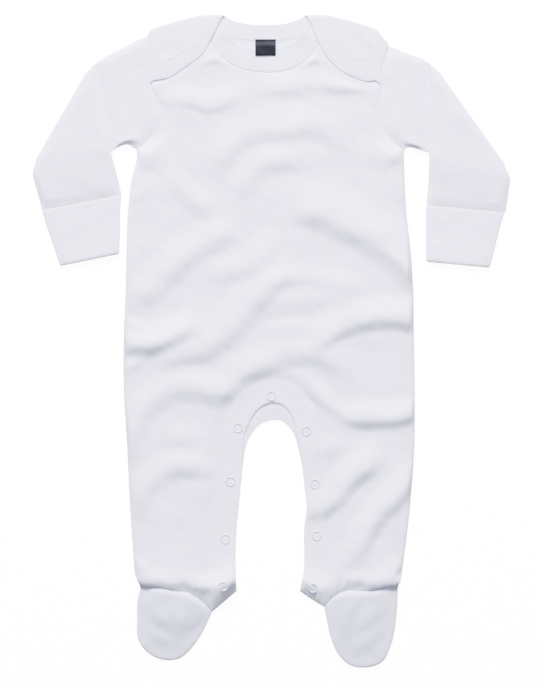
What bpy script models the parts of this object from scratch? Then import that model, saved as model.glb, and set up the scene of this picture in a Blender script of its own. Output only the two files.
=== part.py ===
"""Footed baby sleepsuit in cotton knit, laid flat on its back.

+X is the wearer's left, +Y runs to the neck and +Z up from the surface that the suit lies on. The origin is
on the flat underside of the back, at mid body. The tables hold millimetres; the meshes are in metres.
"""
import math
from collections import namedtuple

import bmesh
import bpy
import numpy as np
from mathutils import Vector
from mathutils.geometry import delaunay_2d_cdt

# ---------------------------------------------------------------- driving sizes, in millimetres
MM = 0.001
WALL = 1.0                      # cloth thickness
GAP = 0.3                       # clearance between one piece and the next
LAYER = WALL + GAP              # height from one layer of cloth to the one that lies on it
SEAM = GAP / 2                  # each side of a seam is cut back by this much
CUFF_WALL = 1.2                 # the cuffs are doubled cloth
OUTLINE_STEP = 6.0              # spacing of the points along an outline
FRONT_STEP = 10.5               # spacing of the points inside the front, which carries the folds
FOOT_STEP = 8.0                 # the same in the foot tops
FLAT_STEP = 40.0                # the same in cloth that lies flat
NECKBAND_WIDTH = 14.0           # back neckband, which runs on along the flaps' free edges
CROWN = 1.6                     # how far the front stands off the back between its seams
CROWN_WIDTH = 14.0              # width of the rounded rise along a seam
PLACKET_WIDTH = 16.0            # flat snap edge along the crotch and inner legs
FOOT_CROWN = 3.0                # how far the foot tops stand up
FOOT_CROWN_WIDTH = 16.0         # width of the rise round a foot
FLAP_CLEAR = 2.0                # the front stays down this far past a flap's edge
FLAP_REST = 12.0                # width of its rise beyond that
FOLD_TAPER = 0.25               # share of a fold's length over which each end dies out
SEAM_RUN_OUT = (22.0, 2.0)      # how far the back neckband's seam line is run out past the armholes
NECK_RUN_OUT = (0.4, 8.0)       # and the front neckband's up inside the shoulders
ARMHOLE_CLEAR = 1.5             # the front stops this far short of the armholes' upper ends
PATTERN_TOP = 420.0             # height above every pattern, which closes the shapes that sort triangles
PATTERN_SIDE = 130.0

SHOULDER_RADIUS = (3 * WALL + 2 * GAP) / 2          # outside radius of the roll round back, front and flap
SHOULDER_ROLL = math.pi * (SHOULDER_RADIUS - WALL / 2)  # cloth that the roll takes up
SHOULDER_STEPS = 4                                  # facets round that roll
TUCK_SLOPE = 2.0                                    # extra clearance in it per unit of the shoulder's slope

SLEEVE_HEIGHT = 2 * WALL + GAP                      # a flattened sleeve: two walls and the gap in it
ELBOW_RADIUS = SLEEVE_HEIGHT + 0.2                  # outside radius of the elbow fold
ELBOW_STEPS = 6                                     # facets round the elbow fold
SLEEVE_SPANS = 10                                   # spans across a sleeve's upper or lower wall
SLEEVE_SEAM = 0.45                                  # a sleeve's cut back at its armhole
CUFF_SPANS = 4                                      # spans across a cuff's upper or lower wall
EDGE_STEPS = 4                                      # facets round the flattened tube's side
FOREARM_DROP_START = 6.0                            # below the upper arm, where the forearm starts down
FOREARM_DROP_LENGTH = 26.0                          # and how far along it reaches the surface

SNAP_PROFILE = ((4.75, 0.0), (4.75, 0.5), (4.2, 1.1), (3.4, 1.1), (2.9, 0.6), (0.0, 0.6))
SNAP_SIDES = 16

LABEL_WIDTH = 18.7
LABEL_CENTRE = -3.1
LABEL_TOP = 268.6
LABEL_LENGTH = 15.0
LABEL_STEP_START = 1.5          # the label steps up over the neckband's seam from here
LABEL_STEP_LENGTH = 5.0

CLOTH = ("white cotton knit", (0.86, 0.86, 0.89, 1.0), 0.9)
BAND = ("white rib knit", (0.84, 0.84, 0.88, 1.0), 0.9)
LABEL_CLOTH = ("black satin label", (0.01, 0.012, 0.015, 1.0), 0.6)
SNAP_FINISH = ("white enamelled snap", (0.82, 0.82, 0.85, 1.0), 0.35)

# ---------------------------------------------------------------- outlines
# Sides of the body and legs: distance from the centre line at each height.
Side = namedtuple("Side", "height right left")
SIDES = (
    Side(170.0, -117.5, 120.2),
    Side(163.8, -117.5, 120.2),
    Side(145.0, -121.9, 120.7),
    Side(115.0, -125.5, 122.3),
    Side(80.0, -126.8, 126.2),
    Side(45.0, -127.6, 128.5),
    Side(0.0, -129.4, 129.1),
    Side(-45.0, -129.2, 129.8),
    Side(-90.0, -126.5, 129.6),
    Side(-145.0, -123.8, 125.8),
    Side(-190.0, -120.8, 120.6),
    Side(-208.0, -119.4, 118.0),
)

# Inner edges of the legs, from the crotch curves down to the ankles.
Inner = namedtuple("Inner", "height right left")
INNER_LEGS = (
    Inner(-112.0, -23.3, 29.6),
    Inner(-129.0, -25.0, 31.4),
    Inner(-146.0, -26.7, 33.4),
    Inner(-165.0, -28.6, 31.4),
    Inner(-208.0, -29.4, 30.3),
    Inner(-222.5, -28.5, 27.2),
)

# Crotch edges, from the right leg over the arch to the left leg. The back's edge lies lower.
Point = namedtuple("Point", "x y")
FRONT_CROTCH = (
    Point(-23.3, -112.0), Point(-22.6, -92.0), Point(-21.6, -83.0), Point(-17.8, -74.0), Point(-11.6, -63.2),
    Point(-5.3, -57.8), Point(3.1, -55.2), Point(11.6, -57.0), Point(17.6, -62.8), Point(21.4, -71.0),
    Point(24.4, -83.0), Point(27.0, -98.0), Point(29.6, -112.0),
)
BACK_CROTCH = (
    Point(-23.3, -112.0), Point(-21.4, -98.0), Point(-18.6, -88.5), Point(-14.2, -81.0), Point(-7.1, -74.0),
    Point(2.7, -70.6), Point(11.6, -71.4), Point(17.4, -76.0), Point(22.0, -83.0), Point(26.4, -97.0),
    Point(29.6, -112.0),
)

# Armhole seams, from the underarm up to the shoulder.
RIGHT_ARMHOLE = (
    Point(-117.5, 170.0), Point(-106.5, 179.5), Point(-98.8, 189.6), Point(-96.3, 202.0), Point(-98.6, 213.0),
    Point(-103.1, 224.0), Point(-105.3, 233.0), Point(-107.8, 245.6), Point(-109.0, 258.2),
    Point(-107.8, 271.6),
)
LEFT_ARMHOLE = (
    Point(120.2, 170.0), Point(110.5, 177.0), Point(104.1, 184.5), Point(99.4, 201.0), Point(98.3, 214.0),
    Point(98.8, 227.0), Point(100.2, 239.4), Point(103.2, 250.5), Point(106.4, 262.6),
)

# Top of the shoulders, where the back folds over: one line from armhole to armhole.
SHOULDERS = (
    Point(-107.8, 273.4), Point(-104.1, 277.3), Point(-97.9, 279.8), Point(-89.9, 282.1), Point(-74.8, 286.6),
    Point(-65.2, 288.7), Point(-53.8, 290.3), Point(-40.0, 290.1), Point(32.9, 290.1), Point(44.5, 290.3),
    Point(52.5, 289.7), Point(59.6, 287.9), Point(73.0, 284.8), Point(89.0, 279.6), Point(95.2, 277.2),
    Point(102.4, 269.0), Point(106.4, 264.4),
)

# Free edges of the shoulder flaps as they lie on the front, from the armhole up to the neck.
RIGHT_FLAP = (
    Point(-105.4, 228.8), Point(-97.0, 230.3), Point(-90.8, 232.6), Point(-82.8, 237.4), Point(-75.7, 242.1),
    Point(-66.8, 248.8), Point(-58.7, 255.4), Point(-52.6, 264.3), Point(-48.1, 276.0), Point(-44.4, 283.4),
)
LEFT_FLAP = (
    Point(98.8, 227.0), Point(91.7, 228.6), Point(84.6, 230.5), Point(76.5, 233.4), Point(66.8, 238.3),
    Point(59.6, 243.3), Point(52.5, 250.9), Point(45.0, 262.4), Point(39.6, 275.6), Point(36.6, 283.4),
)

# Back neckline between the shoulders, and the front neckband's two edges.
BACK_NECK = (
    Point(-36.0, 287.0), Point(-32.0, 284.9), Point(-25.8, 283.2), Point(-16.9, 281.7), Point(-3.6, 281.0),
    Point(11.6, 281.9), Point(18.7, 283.3), Point(24.5, 285.2), Point(28.8, 287.0),
)
FRONT_NECK_SEAM = (
    Point(-60.5, 286.2), Point(-57.0, 273.0), Point(-49.8, 261.6), Point(-43.6, 254.3), Point(-34.7, 246.9),
    Point(-25.8, 242.3), Point(-12.5, 239.4), Point(0.9, 238.6), Point(14.2, 240.1), Point(23.1, 243.2),
    Point(32.0, 248.7), Point(39.2, 255.4), Point(45.4, 264.0), Point(50.6, 275.0), Point(53.6, 286.2),
)
FRONT_NECK_EDGE = (
    Point(-40.6, 286.2), Point(-38.9, 276.0), Point(-34.7, 269.0), Point(-26.8, 263.0), Point(-15.0, 260.3),
    Point(-2.0, 259.8), Point(10.0, 261.4), Point(20.0, 265.0), Point(28.4, 270.6), Point(31.8, 278.0),
    Point(33.2, 286.2),
)

# Ankles and feet. The hem bulges over the foot; the dome is the foot top's seam; the heel edge joins the
# dome's end to the inner leg; the toe is the rest of the foot's outline.
Foot = namedtuple("Foot", "hem dome heel toe tuck")
RIGHT_FOOT = Foot(
    hem=(Point(-119.4, -208.0), Point(-114.9, -215.4), Point(-98.0, -218.4), Point(-81.0, -221.6),
         Point(-73.6, -222.9)),
    dome=(Point(-73.6, -222.9), Point(-65.5, -227.0), Point(-57.0, -234.1), Point(-50.6, -241.4)),
    heel=(Point(-50.6, -241.4), Point(-40.0, -232.3), Point(-28.5, -222.5)),
    toe=(Point(-50.6, -241.4), Point(-58.7, -258.5), Point(-69.0, -273.6), Point(-79.0, -282.4),
         Point(-98.3, -282.8), Point(-109.9, -275.6), Point(-115.8, -267.2), Point(-117.4, -246.0),
         Point(-117.2, -232.0), Point(-114.4, -219.4)),
    tuck=(Point(-114.4, -219.4), Point(-107.0, -212.8), Point(-94.0, -214.4), Point(-84.0, -217.2),
          Point(-80.0, -222.9)),
)
LEFT_FOOT = Foot(
    hem=(Point(118.0, -208.0), Point(116.6, -213.6), Point(100.0, -217.2), Point(87.0, -220.6),
         Point(79.0, -222.4)),
    dome=(Point(79.0, -222.4), Point(70.0, -221.8), Point(59.0, -226.6), Point(49.0, -236.6)),
    heel=(Point(49.0, -236.6), Point(38.3, -230.3), Point(27.2, -222.5)),
    toe=(Point(49.0, -236.6), Point(51.3, -248.3), Point(55.6, -266.0), Point(61.4, -278.6),
         Point(74.6, -289.6), Point(86.0, -290.8), Point(100.4, -286.0), Point(108.4, -271.2),
         Point(113.4, -245.6), Point(114.9, -219.0)),
    tuck=(Point(114.9, -219.0), Point(107.0, -211.8), Point(98.0, -213.4), Point(89.0, -216.0),
          Point(85.0, -222.4)),
)

# Sleeves as they lie: the section's ends on the upper and lower edge, and how much of the armhole's bow it
# keeps. The last arm row is the elbow's fold line; the forearm runs from there to the cuff seam.
Section = namedtuple("Section", "top low bow")
RIGHT_ARM = (
    Section(Point(-107.8, 271.6), Point(-117.5, 170.0), 1.0),
    Section(Point(-117.0, 267.4), Point(-125.0, 174.4), 0.78),
    Section(Point(-131.0, 260.0), Point(-141.0, 168.8), 0.45),
    Section(Point(-145.0, 253.2), Point(-172.0, 161.6), 0.18),
    Section(Point(-158.4, 246.5), Point(-211.8, 154.0), 0.0),
)
RIGHT_FOREARM = (
    Section(Point(-152.6, 225.8), Point(-210.2, 147.6), 0.0),
    Section(Point(-147.0, 203.0), Point(-208.4, 141.0), 0.0),
    Section(Point(-143.2, 185.0), Point(-206.6, 134.4), 0.0),
    Section(Point(-140.4, 168.2), Point(-205.0, 128.4), 0.0),
    Section(Point(-135.4, 149.0), Point(-203.4, 122.4), 0.0),
    Section(Point(-131.0, 130.2), Point(-202.2, 116.4), 0.0),
)
RIGHT_CUFF = (
    Section(Point(-131.9, 129.8), Point(-201.6, 116.0), 0.0),
    Section(Point(-132.4, 112.0), Point(-197.2, 100.5), 0.0),
    Section(Point(-132.6, 94.5), Point(-191.6, 84.5), 0.0),
    Section(Point(-133.2, 77.2), Point(-185.6, 66.4), 0.0),
)
LEFT_ARM = (
    Section(Point(106.4, 262.6), Point(120.2, 170.0), 1.0),
    Section(Point(114.0, 259.4), Point(123.0, 172.0), 0.78),
    Section(Point(124.0, 255.4), Point(142.0, 167.4), 0.45),
    Section(Point(134.6, 251.8), Point(176.0, 159.0), 0.18),
    Section(Point(144.8, 248.6), Point(215.4, 149.5), 0.0),
)
LEFT_FOREARM = (
    Section(Point(143.8, 226.0), Point(214.6, 143.6), 0.0),
    Section(Point(143.2, 205.0), Point(213.8, 137.6), 0.0),
    Section(Point(142.8, 186.0), Point(213.0, 131.8), 0.0),
    Section(Point(142.4, 168.0), Point(212.2, 126.2), 0.0),
    Section(Point(141.8, 144.0), Point(211.4, 120.4), 0.0),
    Section(Point(139.9, 120.8), Point(210.6, 114.6), 0.0),
)
LEFT_CUFF = (
    Section(Point(139.4, 120.4), Point(208.2, 114.2), 0.0),
    Section(Point(139.5, 103.0), Point(204.6, 98.0), 0.0),
    Section(Point(139.5, 86.0), Point(200.6, 81.6), 0.0),
    Section(Point(139.6, 70.2), Point(196.4, 64.9), 0.0),
)

# Largest folds in the front: a line from one end to the other, bowed by "bow" at its middle, with the cloth
# standing up by "rise" on its left-hand side. "flank" is half the steep side's width, "fade" the slow side's.
Fold = namedtuple("Fold", "x0 y0 x1 y1 bow rise flank fade")
FOLDS = (
    Fold(-90.0, 212.0, 60.0, 222.0, -3.0, 1.6, 8.0, 22.0),
    Fold(-42.0, 142.0, 66.0, 172.0, 14.0, 2.0, 9.0, 26.0),
    Fold(-24.0, 112.0, 20.0, 156.0, 3.0, 1.8, 9.0, 20.0),
    Fold(-98.0, 152.0, -50.0, 106.0, -3.0, 1.6, 9.0, 18.0),
    Fold(-110.0, 24.0, -18.0, 104.0, 6.0, 2.2, 10.0, 26.0),
    Fold(12.0, 114.0, 127.0, 54.0, 5.0, 3.2, 10.0, 30.0),
    Fold(-112.0, -34.0, 34.0, 62.0, -9.0, 3.4, 10.0, 30.0),
    Fold(-8.0, 24.0, 84.0, 36.0, 0.0, 1.6, 8.0, 22.0),
    Fold(42.0, 0.0, 127.0, 14.0, 0.0, 2.8, 10.0, 26.0),
    Fold(-124.0, -30.0, -54.0, 16.0, 3.0, 2.6, 9.0, 22.0),
    Fold(-116.0, -104.0, -40.0, -48.0, 26.0, 3.2, 10.0, 24.0),
    Fold(-46.0, -48.0, 72.0, -30.0, 12.0, 2.6, 10.0, 24.0),
    Fold(64.0, -66.0, 127.0, -72.0, -6.0, 3.0, 10.0, 24.0),
    Fold(-116.0, -142.0, -52.0, -116.0, 6.0, 2.0, 9.0, 22.0),
    Fold(50.0, -154.0, 98.0, -118.0, -6.0, 2.6, 9.0, 22.0),
    Fold(88.0, -196.0, 124.0, -130.0, -3.0, 3.0, 9.0, 20.0),
)

# Ring snaps: one at the crotch and four down each inner leg.
Snap = namedtuple("Snap", "name x y")
SNAPS = (
    Snap("snap_crotch", 2.2, -49.0),
    Snap("snap_right_leg_1", -27.6, -77.4),
    Snap("snap_right_leg_2", -34.2, -125.1),
    Snap("snap_right_leg_3", -38.8, -176.2),
    Snap("snap_right_leg_4", -40.6, -218.0),
    Snap("snap_left_leg_1", 32.9, -80.1),
    Snap("snap_left_leg_2", 40.9, -127.3),
    Snap("snap_left_leg_3", 42.4, -173.2),
    Snap("snap_left_leg_4", 39.0, -219.6),
)

ANKLE_BULGE = 3.4               # rise of the hem where it stands over the foot
ANKLE_BULGE_WIDTH = 15.0
ANKLE_SIDE_WIDTH = 8.0          # over which the bulge dies out towards the side seam
ANKLE_DOME_START = 1.0          # and towards the dome seam, from this far off it
ANKLE_DOME_WIDTH = 9.0
GATHER_RISE = 0.7               # small pleats where the elastic draws in the inner ankle
GATHER_PITCH = 9.0
GATHER_LENGTH = 16.0
GATHER_ROWS = (-1.0, 5.0, 12.0)  # heights above the heel edge at which the pleats' rows have points


# ---------------------------------------------------------------- lines on the cloth
def smooth_step(value):
    """0 below 0, 1 above 1, and a smooth S between them."""
    part = np.clip(value, 0.0, 1.0)
    return part * part * (3.0 - 2.0 * part)


def curve(points, step=OUTLINE_STEP):
    """Even steps along a smooth curve through the given points (cubic spans on their chord lengths)."""
    given = np.array([(p[0], p[1]) for p in points], dtype=float)
    chord = np.hypot(*np.diff(given, axis=0).T)
    at = np.concatenate([[0.0], np.cumsum(chord)])
    slope = np.gradient(given, at, axis=0)
    fine = np.linspace(0.0, at[-1], 40 * len(given))
    span = np.clip(np.searchsorted(at, fine, side="right") - 1, 0, len(chord) - 1)
    t = ((fine - at[span]) / chord[span])[:, None]
    length = chord[span][:, None]
    line = ((2 * t**3 - 3 * t**2 + 1) * given[span] + (t**3 - 2 * t**2 + t) * length * slope[span]
            + (3 * t**2 - 2 * t**3) * given[span + 1] + (t**3 - t**2) * length * slope[span + 1])
    run = np.concatenate([[0.0], np.cumsum(np.hypot(*np.diff(line, axis=0).T))])
    count = max(2, int(round(run[-1] / step)) + 1)
    even = np.linspace(0.0, run[-1], count)
    return np.column_stack([np.interp(even, run, line[:, 0]), np.interp(even, run, line[:, 1])])


def shifted(line, distance):
    """The line moved sideways by a distance, to the left of the way it runs."""
    along = np.gradient(line, axis=0)
    along /= np.hypot(along[:, 0], along[:, 1])[:, None]
    return line + distance * np.column_stack([-along[:, 1], along[:, 0]])


def joined(*lines):
    """One closed loop from lines that follow each other, without the doubled points at their ends."""
    loop = np.vstack(lines)
    keep = np.hypot(*(loop - np.roll(loop, 1, axis=0)).T) > 0.4
    return loop[keep]


def inside(loop, points):
    """Whether each point lies within a closed loop (crossings of a ray to its right)."""
    x, y = points[:, 0][:, None], points[:, 1][:, None]
    x0, y0 = loop[:, 0][None], loop[:, 1][None]
    x1, y1 = np.roll(loop[:, 0], -1)[None], np.roll(loop[:, 1], -1)[None]
    spans = (y0 > y) != (y1 > y)
    rise = np.where(y1 == y0, 1.0, y1 - y0)
    crossing = x0 + (y - y0) * (x1 - x0) / rise
    return (spans & (x < crossing)).sum(axis=1) % 2 == 1


def distance_to(line, points):
    """Distance of each point from an open line."""
    start, end = line[:-1][None], line[1:][None]
    run = end - start
    part = ((points[:, None] - start) * run).sum(axis=2) / (run**2).sum(axis=2)
    near = start + np.clip(part, 0.0, 1.0)[..., None] * run
    return np.sqrt(((points[:, None] - near)**2).sum(axis=2)).min(axis=1)


SHOULDER_LINE = curve(SHOULDERS, 2.0)


def fold_start(x):
    """Height on the back at which its shoulder starts to roll over."""
    return np.interp(x, SHOULDER_LINE[:, 0], SHOULDER_LINE[:, 1]) - SHOULDER_RADIUS


def unfolded(line):
    """Flap points, given where they lie on the front, on the back's flat pattern."""
    return np.column_stack([line[:, 0], 2 * fold_start(line[:, 0]) + SHOULDER_ROLL - line[:, 1]])


def laid_back(points):
    """The back's pattern laid down: flat up to the shoulder, round the roll, then back over the front;
    and the way its thickness runs at each point."""
    x, y = points[:, 0], points[:, 1]
    start = fold_start(x)
    turn = np.clip((y - start) / SHOULDER_ROLL, 0.0, 1.0) * math.pi
    over = np.maximum(y - start - SHOULDER_ROLL, 0.0)
    folded = start + SHOULDER_RADIUS * np.sin(turn) - over
    laid = np.column_stack([x, np.where(y < start, y, folded), SHOULDER_RADIUS * (1 - np.cos(turn))])
    return laid, np.column_stack([np.zeros(len(x)), -np.sin(turn), np.cos(turn)])


# ---------------------------------------------------------------- the pattern's edges
RIGHT_SIDE = curve([(row.right, row.height) for row in reversed(SIDES)])       # ankle to underarm
LEFT_SIDE = curve([(row.left, row.height) for row in SIDES])                   # underarm to ankle
RIGHT_INNER = curve([(row.right, row.height) for row in reversed(INNER_LEGS)])  # ankle to crotch
LEFT_INNER = curve([(row.left, row.height) for row in INNER_LEGS])             # crotch to ankle
FRONT_ARCH = curve(FRONT_CROTCH)
BACK_ARCH = curve(BACK_CROTCH)
ARMHOLE_R = curve(RIGHT_ARMHOLE)
ARMHOLE_L = curve(LEFT_ARMHOLE)
FLAP_R = curve(RIGHT_FLAP)
FLAP_L = curve(LEFT_FLAP)
NECK_EDGE = curve(np.vstack([unfolded(FLAP_R[::3]), np.array(BACK_NECK), unfolded(FLAP_L[::3])[::-1]]))
NECK_SEAM_F = curve(FRONT_NECK_SEAM)
BACK_ANKLE_R = np.array([(-115.2, -217.6), (-70.0, -220.6), (-28.5, -222.2)])
BACK_ANKLE_L = np.array([(115.8, -216.8), (72.0, -220.2), (27.2, -222.2)])
NECK_EDGE_F = curve(FRONT_NECK_EDGE)


def leg_end(foot):
    """Front leg's lower edge: hem, dome and heel edge, from the outer to the inner corner."""
    return np.vstack([curve(foot.hem), curve(foot.dome)[1:], curve(foot.heel)[1:]])


# ---------------------------------------------------------------- cutting and building cloth
def cut_cloth(lines, keep, step, crossing_rows=()):
    """Triangles that fill a cut piece: its cutting lines, points inside on an even lattice, and rows that
    the triangles must follow. "keep" tells which triangles, by their centres, belong to the piece."""
    rows = list(lines) + list(crossing_rows)
    points = np.vstack(rows)
    edges = []
    first = 0
    for number, line in enumerate(rows):
        last = first + len(line) - 1
        edges += [(i, i + 1) for i in range(first, last)]
        if number < len(lines):
            edges.append((last, first))
        first = last + 1
    low, high = points.min(axis=0), points.max(axis=0)
    row_step = step * math.sqrt(3) / 2
    across, up = np.meshgrid(np.arange(low[0], high[0], step), np.arange(low[1], high[1], row_step))
    across = across + (np.arange(across.shape[0]) % 2)[:, None] * step / 2
    lattice = np.column_stack([across.ravel(), up.ravel()])
    clear = np.ones(len(lattice), dtype=bool)
    for number, line in enumerate(rows):
        border = np.vstack([line, line[:1]]) if number < len(lines) else line
        clear &= distance_to(border, lattice) > 0.5 * step
    lattice = lattice[clear & keep(lattice)]
    everything = [Vector(p) for p in np.vstack([points, lattice])]
    verts, _, faces, _, _, _ = delaunay_2d_cdt(everything, edges, [], 0, 1e-4)
    flat = np.array([(v.x, v.y) for v in verts])
    faces = np.array(faces)
    corner = flat[faces]
    one, two = corner[:, 1] - corner[:, 0], corner[:, 2] - corner[:, 0]
    spin = one[:, 0] * two[:, 1] - one[:, 1] * two[:, 0]
    faces = np.where((spin < 0)[:, None], faces[:, ::-1], faces)
    faces = faces[keep(corner.mean(axis=1)) & (np.abs(spin) > 1e-5)]
    used, again = np.unique(faces, return_inverse=True)
    return flat[used], again.reshape(faces.shape)


def material(finish):
    """Principled material of one finish: its name, colour and roughness."""
    name, colour, roughness = finish
    made = bpy.data.materials.new(name)
    made.use_nodes = True
    shader = made.node_tree.nodes["Principled BSDF"]
    shader.inputs["Base Color"].default_value = colour
    shader.inputs["Roughness"].default_value = roughness
    made.diffuse_color = colour
    return made


def add_object(name, points, faces, finish, collection):
    """A named mesh object from points in millimetres."""
    mesh = bpy.data.meshes.new(name)
    mesh.from_pydata((np.asarray(points) * MM).tolist(), [], [list(map(int, face)) for face in faces])
    mesh.materials.append(material(finish))
    mesh.update()
    made = bpy.data.objects.new(name, mesh)
    collection.objects.link(made)
    return made


def add_sheet(name, under, faces, finish, collection, raised=None):
    """Cloth wall: its under surface, the upper one a wall's thickness away, and the rim between them.
    The thickness runs straight up unless "raised" gives another direction at each point."""
    upward = np.tile([0.0, 0.0, 1.0], (len(under), 1)) if raised is None else raised
    points = np.vstack([under, under + WALL * upward])
    count = len(under)
    sides = np.vstack([faces[:, [0, 1]], faces[:, [1, 2]], faces[:, [2, 0]]])
    codes = sides[:, 0] * count + sides[:, 1]
    rim = sides[~np.isin(codes, sides[:, 1] * count + sides[:, 0])]
    walls = np.column_stack([rim, rim[:, ::-1] + count])
    skins = np.vstack([faces[:, ::-1], faces + count])
    made = add_object(name, points, skins.tolist() + walls.tolist(), finish, collection)
    made.data.shade_smooth()
    made.data.set_sharp_from_angle(angle=math.radians(40))


# ---------------------------------------------------------------- body
def fold_height(points, fold):
    """Rise of one fold: an S up across its line on the flank, a slow fall beyond, tapered at both ends."""
    run = np.array([fold.x1 - fold.x0, fold.y1 - fold.y0])
    length = math.hypot(*run)
    along = run / length
    offset = points - np.array([fold.x0, fold.y0])
    part = offset @ along / length
    across = offset[:, 1] * along[0] - offset[:, 0] * along[1] - fold.bow * 4 * part * (1 - part)
    taper = smooth_step(part / FOLD_TAPER) * smooth_step((1 - part) / FOLD_TAPER)
    rise = smooth_step((across + fold.flank) / (2 * fold.flank))
    fall = 1 - smooth_step((across - fold.flank) / fold.fade)
    return fold.rise * taper * rise * fall


def front_calm(points):
    """0 where the front is held down (seams, snap edge, under the flaps), 1 where it lies free."""
    seams = [RIGHT_SIDE, ARMHOLE_R, ARMHOLE_L, LEFT_SIDE, NECK_SEAM_F]
    for foot in (RIGHT_FOOT, LEFT_FOOT):
        seams += [curve(foot.dome), curve(foot.heel)]
    outer = np.min([distance_to(line, points) for line in seams], axis=0)
    inner = distance_to(np.vstack([RIGHT_INNER, FRONT_ARCH[1:], LEFT_INNER[1:]]), points)
    flap_x = np.concatenate([FLAP_R[:, 0], [-43.0, 36.0], FLAP_L[::-1, 0]])
    flap_y = np.concatenate([FLAP_R[:, 1], [PATTERN_TOP, PATTERN_TOP], FLAP_L[::-1, 1]])
    away = np.minimum(distance_to(FLAP_R, points), distance_to(FLAP_L, points))
    away = np.where(points[:, 1] > np.interp(points[:, 0], flap_x, flap_y), 0.0, away)
    return (smooth_step(outer / CROWN_WIDTH) * smooth_step((inner - PLACKET_WIDTH) / CROWN_WIDTH)
            * smooth_step((away - FLAP_CLEAR) / FLAP_REST))


def ankle_height(points):
    """Bulge of the legs' hems over the feet, and the small pleats at the inner ankles; and how far the
    bulge takes over from the folds."""
    bulge = np.zeros(len(points))
    pleats = np.zeros(len(points))
    for foot, side in ((RIGHT_FOOT, RIGHT_SIDE), (LEFT_FOOT, LEFT_SIDE)):
        near_hem = smooth_step(1 - distance_to(curve(foot.hem), points) / ANKLE_BULGE_WIDTH)
        from_dome = smooth_step((distance_to(curve(foot.dome), points) - ANKLE_DOME_START) / ANKLE_DOME_WIDTH)
        from_side = smooth_step(distance_to(side, points) / ANKLE_SIDE_WIDTH)
        bulge = np.maximum(bulge, near_hem * from_dome * from_side)
        near_heel = smooth_step(1 - distance_to(curve(foot.heel), points) / GATHER_LENGTH)
        wave = 0.5 + 0.5 * np.cos(2 * math.pi * points[:, 0] / GATHER_PITCH)
        pleats = np.maximum(pleats, near_heel * wave)
    return bulge, pleats


def front_height(points):
    """How far the front stands above the layer that it lies on."""
    folds = CROWN + sum(fold_height(points, fold) for fold in FOLDS)
    bulge, pleats = ankle_height(points)
    return front_calm(points) * folds * (1 - bulge) + ANKLE_BULGE * bulge + GATHER_RISE * pleats


def shoulder_rows():
    """Rows across both shoulders, along which the back bends round its roll."""
    rows = []
    for low, high in ((-118.0, -34.0), (27.0, 116.0)):
        across = np.linspace(low, high, 12)
        for turn in np.linspace(0.0, 1.0, SHOULDER_STEPS + 1):
            rows.append(np.column_stack([across, fold_start(across) + turn * SHOULDER_ROLL]))
    return rows


def build_back(collection):
    """Back, with its flaps folded over the shoulders, and the neckband along its neckline and flaps."""
    flap_side_r = unfolded(ARMHOLE_R[ARMHOLE_R[:, 1] > RIGHT_FLAP[0].y + 1.0][::-1])
    flap_side_l = unfolded(ARMHOLE_L[ARMHOLE_L[:, 1] > LEFT_FLAP[0].y + 1.0])
    pattern = joined(
        RIGHT_SIDE, shifted(ARMHOLE_R, -SEAM)[1:], shifted(flap_side_r, -SEAM), NECK_EDGE,
        shifted(flap_side_l, -SEAM), shifted(ARMHOLE_L[::-1], -SEAM)[:-1], LEFT_SIDE,
        BACK_ANKLE_L, LEFT_INNER[::-1][1:], BACK_ARCH[::-1][1:], RIGHT_INNER[::-1][1:-1],
        BACK_ANKLE_R[::-1])
    above = [(PATTERN_SIDE, PATTERN_TOP), (-PATTERN_SIDE, PATTERN_TOP)]

    def band_edge(cut_back):
        """Seam of the neckband, cut back to one side, run out past both armholes."""
        seam = shifted(NECK_EDGE, -NECKBAND_WIDTH + cut_back)
        out, down = SEAM_RUN_OUT
        return np.vstack([seam[0] + [-out, -down], seam, seam[-1] + [out, -down]])

    panel_seam, band_seam = band_edge(-SEAM), band_edge(SEAM)
    panel_side = np.vstack([panel_seam, above])
    band_side = np.vstack([band_seam, above])
    rows = shoulder_rows()
    flat, faces = cut_cloth([pattern], lambda p: inside(pattern, p) & ~inside(panel_side, p),
                            FLAT_STEP, rows + [panel_seam])
    laid, raised = laid_back(flat)
    add_sheet("back_panel", laid, faces, CLOTH, collection, raised)
    flat, faces = cut_cloth([pattern], lambda p: inside(pattern, p) & inside(band_side, p),
                            FLAT_STEP, rows + [band_seam])
    laid, raised = laid_back(flat)
    add_sheet("back_neckband", laid, faces, BAND, collection, raised)


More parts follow.
